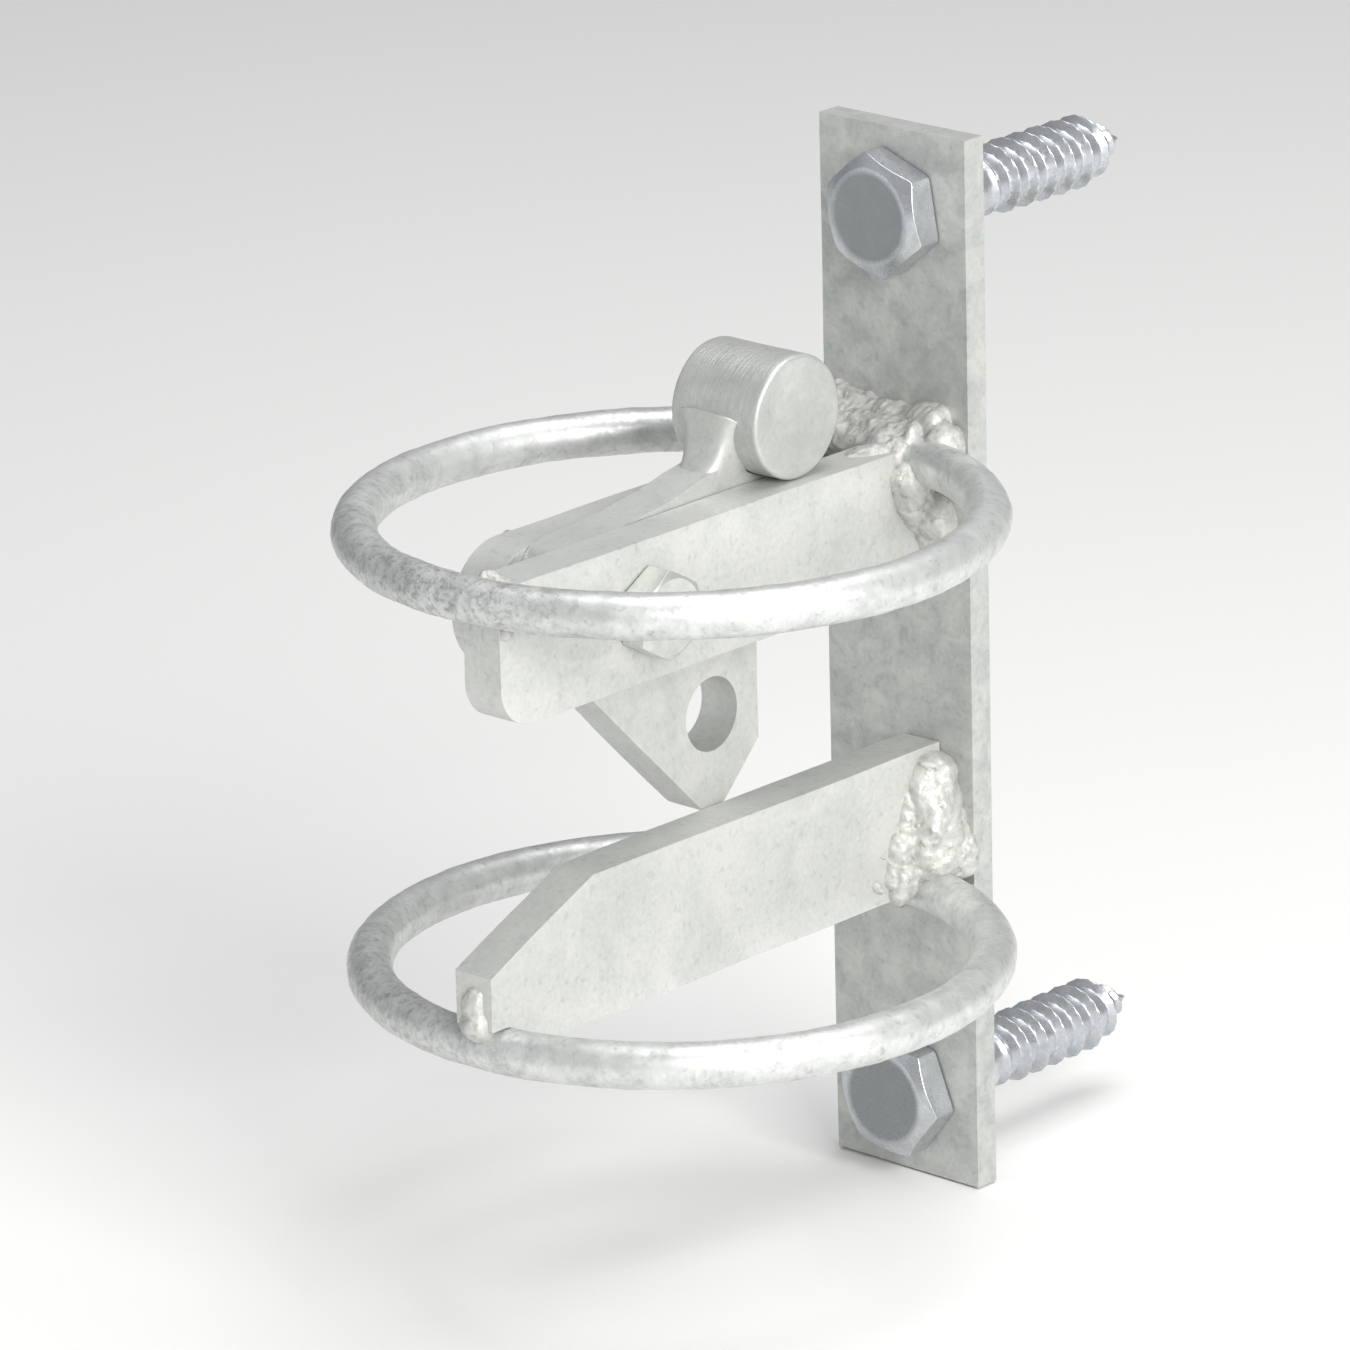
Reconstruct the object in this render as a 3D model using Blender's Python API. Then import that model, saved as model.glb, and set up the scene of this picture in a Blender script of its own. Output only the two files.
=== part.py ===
"""Automatic gravity gate latch with two guard rings, for a tubular field gate.

Frame: the origin is the centre of the back plate's rear face, on the post.
+X is to the right seen from the front, the front of the latch faces -Y, +Z is up.
The gate's rail comes in from -Y, lifts the pawl and is held against the back plate.
All sizes are in metres.
"""

import math

import bmesh
import bpy

# ---------------------------------------------------------------- driving sizes
GAP = 0.0003               # clearance left between touching pieces

PLATE_WIDTH = 0.040
PLATE_THICKNESS = 0.006
PLATE_HEIGHT = 0.232
PLATE_HOLE_RADIUS = 0.0086
SCREW_FROM_END = 0.018     # plate end to screw centre

RING_BAR = 0.010           # diameter of the round bar
RING_RADIUS = 0.065        # to the bar's centreline
RING_HEIGHT = 0.0475       # centreline above and below the middle
SEAT_DEPTH = 0.0045        # corner of an arm left open for a ring: below the centreline,
SEAT_STEP = 0.0015         # and where its slope ends
SEAT_SLOPE = 0.0023        # length of that slope

ARM_THICKNESS = 0.010      # 30 mm flat bar stood on edge
ARM_INNER_X = 0.001        # side of the arms that faces the pawl
UPPER_ARM_FRONT_Y = -0.1395
UPPER_ARM_TOP = 0.0501
UPPER_ARM_BOTTOM = 0.0202
UPPER_ARM_NOSE = 0.009     # radius of the lower front corner
LOWER_ARM_FRONT_Y = -0.145
LOWER_ARM_TOP = -0.0168
LOWER_ARM_BOTTOM = -0.0482
LOWER_ARM_BEVEL = 0.031    # length of the sloping cut on the upper front corner
LOWER_ARM_FRONT_TOP = -0.0308
BAR_EDGE = 0.0006          # rolled edge of the flat bar

CHEEK_THICKNESS = 0.010
CHEEK_TOP = 0.048
CHEEK_BOTTOM = 0.0202
CHEEK_FRONT_Y = -0.121
CHEEK_SEAT_DEPTH = 0.0062  # its corner left open for the ring and the weld over it
CHEEK_SEAT_BACK = 0.001

PIVOT_Y = -0.0955
PIVOT_Z = 0.0350
PIVOT_HOLE_RADIUS = 0.0053

PAWL_THICKNESS = 0.010
PAWL_SIDE_GAP = 0.0005
PAWL_BOSS_RADIUS = 0.0185
LOCK_EDGE_Y = -0.0516      # upright edge that holds the rail
PADLOCK_HOLE_RADIUS = 0.008
PADLOCK_HOLE_Y = -0.0660
PADLOCK_HOLE_Z = 0.0030
PAWL_BOSS_ARC = (226, 135)  # degrees, from the ramp round the front to the upper edge
PAWL_CROWN = (             # (y, z) of the upper edge, rising back to the weight
    (-0.1040, 0.0492), (-0.0880, 0.0502), (-0.0760, 0.0518), (-0.0680, 0.0538),
    (-0.0628, 0.0562), (-0.0600, 0.0588))
PAWL_HEEL = ((LOCK_EDGE_Y + 0.0030, 0.0450), (LOCK_EDGE_Y, 0.0400))
PAWL_TOOTH = (             # end of the upright edge and the rounded tip
    (LOCK_EDGE_Y, -0.0058), (-0.0622, -0.0168), (-0.0646, -0.0181), (-0.0678, -0.0183),
    (-0.0702, -0.0169))

WEIGHT_RADIUS = 0.0132
WEIGHT_LENGTH = 0.0235
WEIGHT_LEFT_X = -0.0155
WEIGHT_Y = -0.0458
WEIGHT_EDGE = 0.0008       # chamfer of its two rims
WEIGHT_WELD_FOOT = (-0.0630, 0.0566)   # (y, z) where the weld starts on the pawl's upper edge
WEIGHT_WELD_ARC = (193, 26)            # where it meets the weight, and how far it climbs, degrees
WEIGHT_WELD_EDGE = 0.0008              # pawl's side to the weld's end
WEIGHT_WELD_FULL = 0.003               # pawl's side to where the weld is full size

BOLT_RADIUS = 0.005        # M10
BOLT_ACROSS_FLATS = 0.017
BOLT_HEAD = 0.0065
BOLT_FACE = 0.47            # radius of the flat end of a head, as a share of its flats
NUT_HEIGHT = 0.0095
NUT_HEX_HEIGHT = 0.0066    # up to the round collar
NUT_COLLAR_RADIUS = 0.00765
NUT_POCKET_RADIUS = 0.0069  # seat of the nylon insert
NUT_EDGE = 0.0007          # chamfers and the rolled lip over the insert
INSERT_DEPTH = 0.0013      # collar's end to the insert
WASHER_RADIUS = 0.010
WASHER_THICKNESS = 0.002
BOLT_END = 0.002           # bolt past the nut
BOLT_CHAMFER = 0.0008

SCREW_RADIUS = 0.008       # M16 coach screw
SCREW_ACROSS_FLATS = 0.024
SCREW_HEAD = 0.0075
SCREW_FACE = 0.43
SCREW_LENGTH = 0.074       # under the head
SCREW_PLAIN = 0.024
SCREW_ROOT = 0.006
SCREW_PITCH = 0.006
SCREW_TIP_RADIUS = 0.0006
SCREW_POINT = 0.0132       # length of the tapered point
THREAD_SHARE = 0.28        # half the ridge's width at its foot, as a share of the pitch
THREAD_HOLD = 1.6          # how far along the point the ridge keeps its height
UPPER_SCREW_ROLL = 20      # degrees that each head stopped at
LOWER_SCREW_ROLL = 8

BEAD_SHARES = (            # (out, forward) of a bead's section, as shares of its leg
    (0, 0), (1, 0), (0.72, 0.42), (0.36, 0.78), (0, 1))
UPPER_RING_BEAD = (0.0165, 0.0075)   # half length and leg
LOWER_RING_BEAD = (0.012, 0.0045)
BEAD_HUG = (28, 46, 64, 80)          # degrees round the bar that a ring's bead touches
UPPER_FRONT_HUG = (36, 52, 68, 84)
ARM_BEAD_LEG = 0.0078
CHEEK_BEAD_LEG = 0.0050
LEFT_BEAD_LEG = 0.0055

RING_STEPS = 56
BAR_SIDES = 12
TURNED_SIDES = 36
SCREW_SIDES = 24
TURN_STEPS = 6             # thread sections in a pitch

# ---------------------------------------------------------------- worked out
PLATE_FRONT = -PLATE_THICKNESS
RING_Y = PLATE_FRONT - GAP - RING_BAR / 2 - RING_RADIUS
ARM_OUTER_X = ARM_INNER_X + ARM_THICKNESS
PAWL_RIGHT_X = ARM_INNER_X - PAWL_SIDE_GAP
PAWL_LEFT_X = PAWL_RIGHT_X - PAWL_THICKNESS
CHEEK_RIGHT_X = PAWL_LEFT_X - PAWL_SIDE_GAP
CHEEK_LEFT_X = CHEEK_RIGHT_X - CHEEK_THICKNESS
WEIGHT_Z = UPPER_ARM_TOP + GAP + WEIGHT_RADIUS
SEAT_RADIUS = RING_BAR / 2 + GAP


# ---------------------------------------------------------------- helpers
def clear_scene():
    for old in list(bpy.data.objects):
        bpy.data.objects.remove(old, do_unlink=True)


def make_material(name, colour, roughness, metallic):
    material = bpy.data.materials.new(name)
    material.use_nodes = True
    shader = material.node_tree.nodes["Principled BSDF"]
    shader.inputs["Base Color"].default_value = (*colour, 1.0)
    shader.inputs["Roughness"].default_value = roughness
    shader.inputs["Metallic"].default_value = metallic
    return material


def add_object(name, bm, material, parent=None, location=(0, 0, 0), rotation=(0, 0, 0)):
    """Put a finished bmesh into the scene, its faces turned outwards."""
    bmesh.ops.recalc_face_normals(bm, faces=bm.faces)
    mesh = bpy.data.meshes.new(name)
    bm.to_mesh(mesh)
    bm.free()
    if material:
        mesh.materials.append(material)
    obj = bpy.data.objects.new(name, mesh)
    bpy.context.scene.collection.objects.link(obj)
    obj.parent = parent
    obj.location = location
    obj.rotation_euler = rotation
    return obj


def smooth(obj, angle=35):
    obj.data.shade_smooth()
    obj.data.set_sharp_from_angle(angle=math.radians(angle))


def add_cutter(name, bm, location=(0, 0, 0), rotation=(0, 0, 0)):
    cutter = add_object(name, bm, None, None, location, rotation)
    cutter.hide_render = True
    cutter.display_type = "WIRE"
    return cutter


def cut(obj, cutter):
    modifier = obj.modifiers.new("cut " + cutter.name, "BOOLEAN")
    modifier.operation = "DIFFERENCE"
    modifier.solver = "EXACT"
    modifier.object = cutter


def round_edges(obj, width=BAR_EDGE):
    modifier = obj.modifiers.new("rolled edges", "BEVEL")
    modifier.width = width
    modifier.segments = 1
    modifier.limit_method = "ANGLE"
    modifier.angle_limit = math.radians(50)


def skin(bm, rings, close_ends=True, wrap=False):
    """Join rings of points, each of the same count, into one closed surface."""
    loops = [[bm.verts.new(point) for point in ring] for ring in rings]
    count = len(loops[0])
    pairs = list(zip(loops, loops[1:]))
    if wrap:
        pairs.append((loops[-1], loops[0]))
    for lower, upper in pairs:
        for i in range(count):
            j = (i + 1) % count
            bm.faces.new((lower[i], lower[j], upper[j], upper[i]))
    if close_ends and not wrap:
        bm.faces.new(loops[0])
        bm.faces.new(loops[-1])
    return bm


def arc(centre, radius, start, end, steps):
    """Points (y, z) on an arc, angles in degrees from +Y towards +Z."""
    angles = [math.radians(start + (end - start) * i / steps) for i in range(steps + 1)]
    return [(centre[0] + radius * math.cos(a), centre[1] + radius * math.sin(a)) for a in angles]


def flat_bar(name, outline, left_x, right_x, material, parent=None, origin=(0, 0)):
    """A plate whose outline lies in the Y-Z plane, between two X values."""
    rings = [[(x, y - origin[0], z - origin[1]) for y, z in outline] for x in (left_x, right_x)]
    obj = add_object(name, skin(bmesh.new(), rings), material, parent)
    round_edges(obj)
    return obj


def ring_points(bar_radius, height):
    """Rings of points round a bar bent into a full circle."""
    rings = []
    for step in range(RING_STEPS):
        turn = 2 * math.pi * step / RING_STEPS
        ring = []
        for side in range(BAR_SIDES):
            roll = 2 * math.pi * side / BAR_SIDES
            reach = RING_RADIUS + bar_radius * math.cos(roll)
            ring.append((reach * math.cos(turn), RING_Y + reach * math.sin(turn),
                         height + bar_radius * math.sin(roll)))
        rings.append(ring)
    return rings


def hexagon(across_flats, angle):
    """Distance from the centre to a hexagon's side, a corner being at angle 0."""
    sector = math.pi / 3
    return across_flats / 2 / math.cos((angle % sector) - sector / 2)


def turned(name, sections, sides, material, wrap=False, **place):
    """A piece round its own Z axis: sections are (height, radius or radius rule)."""
    rings = []
    for height, radius in sections:
        ring = []
        for side in range(sides):
            angle = 2 * math.pi * side / sides
            reach = radius(angle) if callable(radius) else radius
            ring.append((reach * math.cos(angle), reach * math.sin(angle), height))
        rings.append(ring)
    obj = add_object(name, skin(bmesh.new(), rings, wrap=wrap), material, **place)
    smooth(obj)
    return obj


def hex_side(across_flats, limit=math.inf):
    """Radius rule of a hexagon, cut down to a circle where the chamfer reaches it."""
    def rule(angle):
        return min(hexagon(across_flats, angle), limit)
    return rule


def hex_head(across_flats, height, face_share):
    """Sections of a head whose outer face is at -height, with a 30 degree chamfer."""
    corner = across_flats / math.sqrt(3)
    face = across_flats * face_share
    slope = math.tan(math.radians(30))
    sections = [(-height, face)]
    for part in (0.45, 0.75, 1.0):
        reach = face + (corner - face) * part
        depth = (reach - face) * slope
        sections.append((-height + depth, hex_side(across_flats, reach)))
    sections.append((0, hex_side(across_flats)))
    return sections


def ring_line_y(x, rear):
    """Y of a ring's centreline at a given X, on its rear or its front half."""
    reach = math.sqrt(RING_RADIUS ** 2 - x ** 2)
    return RING_Y + reach if rear else RING_Y - reach


def bead(name, rings, material):
    """A weld bead: its cross-sections joined into one closed solid."""
    return add_object(name, skin(bmesh.new(), rings), material)


# ---------------------------------------------------------------- back plate and screws
def build_back_plate(material):
    bm = bmesh.new()
    bmesh.ops.create_cube(bm, size=1)
    bmesh.ops.scale(bm, vec=(PLATE_WIDTH, PLATE_THICKNESS, PLATE_HEIGHT), verts=bm.verts)
    bmesh.ops.translate(bm, vec=(0, -PLATE_THICKNESS / 2, 0), verts=bm.verts)
    plate = add_object("back_plate", bm, material)
    round_edges(plate)
    for end, height in (("upper", 1), ("lower", -1)):
        bm = bmesh.new()
        bmesh.ops.create_cone(bm, cap_ends=True, segments=SCREW_SIDES, radius1=PLATE_HOLE_RADIUS,
                              radius2=PLATE_HOLE_RADIUS, depth=PLATE_THICKNESS * 3)
        hole = add_cutter(end + "_screw_hole", bm, (0, PLATE_FRONT / 2, height * screw_height()),
                          (math.radians(90), 0, 0))
        cut(plate, hole)
    return plate


def screw_height():
    return PLATE_HEIGHT / 2 - SCREW_FROM_END


def thread_radius(height):
    """Radius rule of the wood thread at one height: a sharp ridge that climbs a pitch a turn."""
    fade_in = min(1.0, (height - SCREW_PLAIN) / SCREW_PITCH)
    taper = min(1.0, max(0.0, (SCREW_LENGTH - height) / SCREW_POINT))
    core = SCREW_ROOT * taper + SCREW_TIP_RADIUS * (1 - taper)

    def rule(angle):
        phase = (height / SCREW_PITCH - angle / (2 * math.pi)) % 1.0
        ridge = max(0.0, 1 - abs(phase - 0.5) / THREAD_SHARE)
        return core + (SCREW_RADIUS - SCREW_ROOT) * ridge * fade_in * min(1.0, taper * THREAD_HOLD)
    return rule


def build_coach_screw(name, height, roll, material):
    sections = hex_head(SCREW_ACROSS_FLATS, SCREW_HEAD, SCREW_FACE)
    shoulder = SCREW_PLAIN - (SCREW_RADIUS - SCREW_ROOT)
    sections += [(0, SCREW_RADIUS), (shoulder, SCREW_RADIUS), (SCREW_PLAIN, SCREW_ROOT)]
    step = SCREW_PITCH / TURN_STEPS
    count = int((SCREW_LENGTH - SCREW_PLAIN) / step)
    sections += [(SCREW_PLAIN + step * i, thread_radius(SCREW_PLAIN + step * i))
                 for i in range(1, count)]
    sections.append((SCREW_LENGTH, SCREW_TIP_RADIUS))
    place = {"location": (0, PLATE_FRONT - GAP, height), "rotation": (math.radians(-90), 0, 0)}
    screw = turned(name, sections, SCREW_SIDES, material, **place)
    screw.rotation_euler.rotate_axis("Z", math.radians(roll))
    return screw


# ---------------------------------------------------------------- rings and arms
def build_ring(name, height, material):
    ring = add_object(name, skin(bmesh.new(), ring_points(RING_BAR / 2, height), wrap=True), material)
    smooth(ring)
    return ring


def seat_cutter(name, height):
    """The ring's own shape, a clearance larger: it cuts the seats in the arms."""
    return add_cutter(name, skin(bmesh.new(), ring_points(SEAT_RADIUS, height), wrap=True))


def pivot_cutter():
    bm = bmesh.new()
    bmesh.ops.create_cone(bm, cap_ends=True, segments=TURNED_SIDES, radius1=PIVOT_HOLE_RADIUS,
                          radius2=PIVOT_HOLE_RADIUS, depth=0.1)
    return add_cutter("pivot_hole", bm, (0, PIVOT_Y, PIVOT_Z), (0, math.radians(90), 0))


def rear_seat(height, edge, side):
    """Corner of a plate left open for the ring at the back plate; side is +1 above, -1 below."""
    line = RING_Y + RING_RADIUS
    floor = height - side * SEAT_DEPTH
    step = height - side * SEAT_STEP
    return [(PLATE_FRONT - GAP, floor), (line + SEAT_SLOPE, floor), (line, step), (line, edge)]


def front_seat(height, edge, side, front):
    """The same at the front end, for a plate that reaches past the bar or stops under it."""
    line = RING_Y - RING_RADIUS
    floor = height - side * SEAT_DEPTH
    step = height - side * SEAT_STEP
    if front > line:
        inner = line + SEAT_SLOPE + GAP
        return [(inner, edge), (inner, step), (front, floor)]
    return [(line, edge), (line, step), (line - SEAT_SLOPE, floor), (front, floor)]


def build_upper_arm(material, seat, hole):
    nose = (UPPER_ARM_FRONT_Y + UPPER_ARM_NOSE, UPPER_ARM_BOTTOM + UPPER_ARM_NOSE)
    outline = [(PLATE_FRONT - GAP, UPPER_ARM_BOTTOM)]
    outline += rear_seat(RING_HEIGHT, UPPER_ARM_TOP, 1)
    outline += front_seat(RING_HEIGHT, UPPER_ARM_TOP, 1, UPPER_ARM_FRONT_Y)
    outline += arc(nose, UPPER_ARM_NOSE, 180, 270, 8)
    arm = flat_bar("upper_arm", outline, ARM_INNER_X, ARM_OUTER_X, material)
    cut(arm, seat)
    cut(arm, hole)
    return arm


def build_side_cheek(material, seat, hole):
    radius = (CHEEK_TOP - CHEEK_BOTTOM) / 2
    centre = (CHEEK_FRONT_Y + radius, CHEEK_BOTTOM + radius)
    outline = [(PLATE_FRONT - GAP, CHEEK_BOTTOM)]
    line = ring_line_y(CHEEK_LEFT_X, True) - CHEEK_SEAT_BACK
    floor = RING_HEIGHT - CHEEK_SEAT_DEPTH
    outline += [(PLATE_FRONT - GAP, floor), (line, floor), (line, CHEEK_TOP)]
    outline += arc(centre, radius, 90, 270, 16)
    cheek = flat_bar("side_cheek", outline, CHEEK_LEFT_X, CHEEK_RIGHT_X, material)
    cut(cheek, seat)
    cut(cheek, hole)
    return cheek


def build_lower_arm(material, seat):
    outline = [(PLATE_FRONT - GAP, LOWER_ARM_TOP)]
    outline += rear_seat(-RING_HEIGHT, LOWER_ARM_BOTTOM, -1)
    outline += front_seat(-RING_HEIGHT, LOWER_ARM_BOTTOM, -1, LOWER_ARM_FRONT_Y)
    outline += [(LOWER_ARM_FRONT_Y, LOWER_ARM_FRONT_TOP),
                (LOWER_ARM_FRONT_Y + LOWER_ARM_BEVEL, LOWER_ARM_TOP)]
    arm = flat_bar("lower_arm", outline, ARM_INNER_X, ARM_OUTER_X, material)
    cut(arm, seat)
    return arm


# ---------------------------------------------------------------- pivot
def build_pivot(steel, nylon):
    along = {"rotation": (0, math.radians(-90), 0)}
    head_x = ARM_OUTER_X + GAP
    washer_x = CHEEK_LEFT_X - GAP
    nut_x = washer_x - WASHER_THICKNESS - GAP
    shank = head_x - nut_x + NUT_HEIGHT + BOLT_END
    sections = hex_head(BOLT_ACROSS_FLATS, BOLT_HEAD, BOLT_FACE)
    sections += [(0, BOLT_RADIUS), (shank - BOLT_CHAMFER, BOLT_RADIUS),
                 (shank, BOLT_RADIUS - BOLT_CHAMFER)]
    turned("pivot_bolt", sections, TURNED_SIDES, steel,
           location=(head_x, PIVOT_Y, PIVOT_Z), **along)
    bore = PIVOT_HOLE_RADIUS
    turned("pivot_washer", [(0, bore), (0, WASHER_RADIUS), (WASHER_THICKNESS, WASHER_RADIUS),
                            (WASHER_THICKNESS, bore)],
           TURNED_SIDES, steel, wrap=True, location=(washer_x, PIVOT_Y, PIVOT_Z), **along)
    hexed = hex_side(BOLT_ACROSS_FLATS)
    collar, pocket = NUT_COLLAR_RADIUS, NUT_POCKET_RADIUS
    hex_height = NUT_HEX_HEIGHT
    turned("pivot_lock_nut",
           [(0, bore), (0, BOLT_ACROSS_FLATS * BOLT_FACE), (NUT_EDGE, hexed), (hex_height, hexed),
            (hex_height + NUT_EDGE, collar), (NUT_HEIGHT, collar - NUT_EDGE / 2),
            (NUT_HEIGHT, pocket - NUT_EDGE), (NUT_HEIGHT - NUT_EDGE, pocket),
            (hex_height, pocket), (hex_height, bore)],
           TURNED_SIDES, steel, wrap=True, location=(nut_x, PIVOT_Y, PIVOT_Z), **along)
    turned("lock_nut_insert",
           [(hex_height + GAP, bore), (hex_height + GAP, pocket - GAP),
            (NUT_HEIGHT - INSERT_DEPTH, pocket - GAP), (NUT_HEIGHT - INSERT_DEPTH, bore)],
           TURNED_SIDES, nylon, wrap=True, location=(nut_x, PIVOT_Y, PIVOT_Z), **along)


# ---------------------------------------------------------------- pawl
def pawl_outline():
    """Boss round the pivot, rising back to the weight, tooth with ramp and upright edge."""
    pivot = (PIVOT_Y, PIVOT_Z)
    weight = (WEIGHT_Y, WEIGHT_Z)
    under_weight = arc(weight, WEIGHT_RADIUS + GAP, 196, 272, 8)
    return [*arc(pivot, PAWL_BOSS_RADIUS, *PAWL_BOSS_ARC, 9), *PAWL_CROWN, *under_weight,
            *PAWL_HEEL, *PAWL_TOOTH]


def build_pawl(pawl, plate_steel, weight_steel, weld, hole):
    origin = (PIVOT_Y, PIVOT_Z)
    plate = flat_bar("pawl_plate", pawl_outline(), PAWL_LEFT_X, PAWL_RIGHT_X, plate_steel,
                     parent=pawl, origin=origin)
    cut(plate, hole)
    bm = bmesh.new()
    bmesh.ops.create_cone(bm, cap_ends=True, segments=TURNED_SIDES, radius1=PADLOCK_HOLE_RADIUS,
                          radius2=PADLOCK_HOLE_RADIUS, depth=0.05)
    cut(plate, add_cutter("padlock_hole", bm, (0, PADLOCK_HOLE_Y, PADLOCK_HOLE_Z),
                          (0, math.radians(90), 0)))

    edge = WEIGHT_EDGE
    turned("pawl_weight",
           [(0, WEIGHT_RADIUS - edge), (edge, WEIGHT_RADIUS),
            (WEIGHT_LENGTH - edge, WEIGHT_RADIUS), (WEIGHT_LENGTH, WEIGHT_RADIUS - edge)],
           TURNED_SIDES, weight_steel, parent=pawl, rotation=(0, math.radians(90), 0),
           location=(WEIGHT_LEFT_X, WEIGHT_Y - PIVOT_Y, WEIGHT_Z - PIVOT_Z))

    add_object("weight_weld", weight_weld(), weld, parent=pawl)


def weight_weld():
    """Fillet in front of the weight, on the pawl's upper edge, smaller at both sides."""
    rings = []
    foot = WEIGHT_WELD_FOOT
    start, climb = WEIGHT_WELD_ARC
    for x, grow in ((PAWL_LEFT_X + WEIGHT_WELD_EDGE, 0.6), (PAWL_LEFT_X + WEIGHT_WELD_FULL, 1.0),
                    (PAWL_RIGHT_X - WEIGHT_WELD_FULL, 1.0), (PAWL_RIGHT_X - WEIGHT_WELD_EDGE, 0.6)):
        hug = arc((WEIGHT_Y, WEIGHT_Z), WEIGHT_RADIUS + GAP, start, start - climb * grow, 4)
        tip = hug[-1]
        toe = (foot[0] - 0.0030 * grow, foot[1] - 0.0010 * grow)
        mid = ((tip[0] + toe[0]) / 2 + 0.0010, (tip[1] + toe[1]) / 2)
        section = hug + [mid, toe, foot]
        rings.append([(x, y - PIVOT_Y, z - PIVOT_Z) for y, z in section])
    return skin(bmesh.new(), rings)


# ---------------------------------------------------------------- weld beads
def stations(low, high, count):
    return [low + (high - low) * i / (count - 1) for i in range(count)]


def end_taper(value, low, high, least=0.45):
    """1 over most of the length, falling to a smaller size at both ends."""
    nearest = min(value - low, high - value) / (high - low)
    return least + (1 - least) * min(1.0, nearest * 5)


def ring_bead(name, height, side, half_length, leg, material):
    """Bead in the corner between the ring's bar and the back plate; side +1 above, -1 below."""
    rings = []
    for x in stations(-half_length, half_length, 9):
        size = leg * end_taper(x, -half_length, half_length)
        line = ring_line_y(x, True)
        section = [(line + SEAT_RADIUS * math.cos(a), SEAT_RADIUS * math.sin(a))
                   for a in (math.radians(d) for d in BEAD_HUG)]
        face = PLATE_FRONT - GAP
        top = SEAT_RADIUS + size * 0.75
        section += [(line + 0.0022, SEAT_RADIUS + size * 0.42), (face - 0.0012, top - 0.0006),
                    (face, top), (face, 0.0030)]
        rings.append([(x, y, height + side * z) for y, z in section])
    return bead(name, rings, material)


def corner_bead(name, wall_x, side, low, high, leg, material):
    """Upright bead between the back plate's face and the side of a plate; side is its X side."""
    rings = []
    for z in stations(low, high, 7):
        size = leg * end_taper(z, low, high)
        wall = wall_x + side * GAP
        face = PLATE_FRONT - GAP
        section = [(wall + side * size * out, face - size * forward) for out, forward in BEAD_SHARES]
        rings.append([(x, y, z) for x, y in section])
    return bead(name, rings, material)


def upper_front_bead(material):
    """Bead over the front of the upper arm, between its top edge and the ring."""
    rings = []
    low, high = ARM_INNER_X + GAP, ARM_OUTER_X - GAP
    for x in stations(low, high, 5):
        size = end_taper(x, low, high, 0.75)
        line = ring_line_y(x, False)
        section = [(line + SEAT_RADIUS * math.cos(a), RING_HEIGHT + SEAT_RADIUS * math.sin(a))
                   for a in (math.radians(d) for d in UPPER_FRONT_HUG)]
        section += [(line + 0.0052, UPPER_ARM_TOP + 0.0026 * size),
                    (line + 0.0055 + 0.0040 * size, UPPER_ARM_TOP + GAP)]
        rings.append([(x, y, z) for y, z in section])
    return bead("upper_front_weld", rings, material)


def lower_front_bead(material):
    """Bead down the lower arm's front end, onto the ring."""
    rings = []
    low, high = ARM_INNER_X, ARM_OUTER_X
    face = LOWER_ARM_FRONT_Y - GAP
    for x in stations(low, high, 5):
        size = end_taper(x, low, high, 0.7)
        line = ring_line_y(x, False)
        start = math.degrees(math.acos(max(-1.0, (face - line) / SEAT_RADIUS)))
        section = [(line + SEAT_RADIUS * math.cos(a), -RING_HEIGHT + SEAT_RADIUS * math.sin(a))
                   for a in (math.radians(d) for d in (start, (start + 176) / 2, 176))]
        section += [(face - 0.0030 * size, -RING_HEIGHT + 0.0050),
                    (face - 0.0024 * size, -RING_HEIGHT + 0.0095), (face, LOWER_ARM_FRONT_TOP - 0.0018)]
        rings.append([(x, y, z) for y, z in section])
    return bead("lower_front_weld", rings, material)


def build_welds(material):
    below_ring = RING_HEIGHT - SEAT_RADIUS - GAP
    stop_top = LOWER_ARM_TOP - 0.002
    ring_bead("upper_ring_weld", RING_HEIGHT, 1, *UPPER_RING_BEAD, material)
    ring_bead("lower_ring_weld", -RING_HEIGHT, -1, *LOWER_RING_BEAD, material)
    corner_bead("upper_arm_weld", ARM_OUTER_X, 1, UPPER_ARM_BOTTOM + 0.002, below_ring, ARM_BEAD_LEG,
                material)
    corner_bead("side_cheek_weld", CHEEK_LEFT_X, -1, CHEEK_BOTTOM + 0.001,
                RING_HEIGHT - CHEEK_SEAT_DEPTH - GAP, CHEEK_BEAD_LEG, material)
    corner_bead("lower_arm_right_weld", ARM_OUTER_X, 1, -below_ring, stop_top, ARM_BEAD_LEG, material)
    corner_bead("lower_arm_left_weld", ARM_INNER_X, -1, -below_ring, stop_top, LEFT_BEAD_LEG, material)
    upper_front_bead(material)
    lower_front_bead(material)


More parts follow.
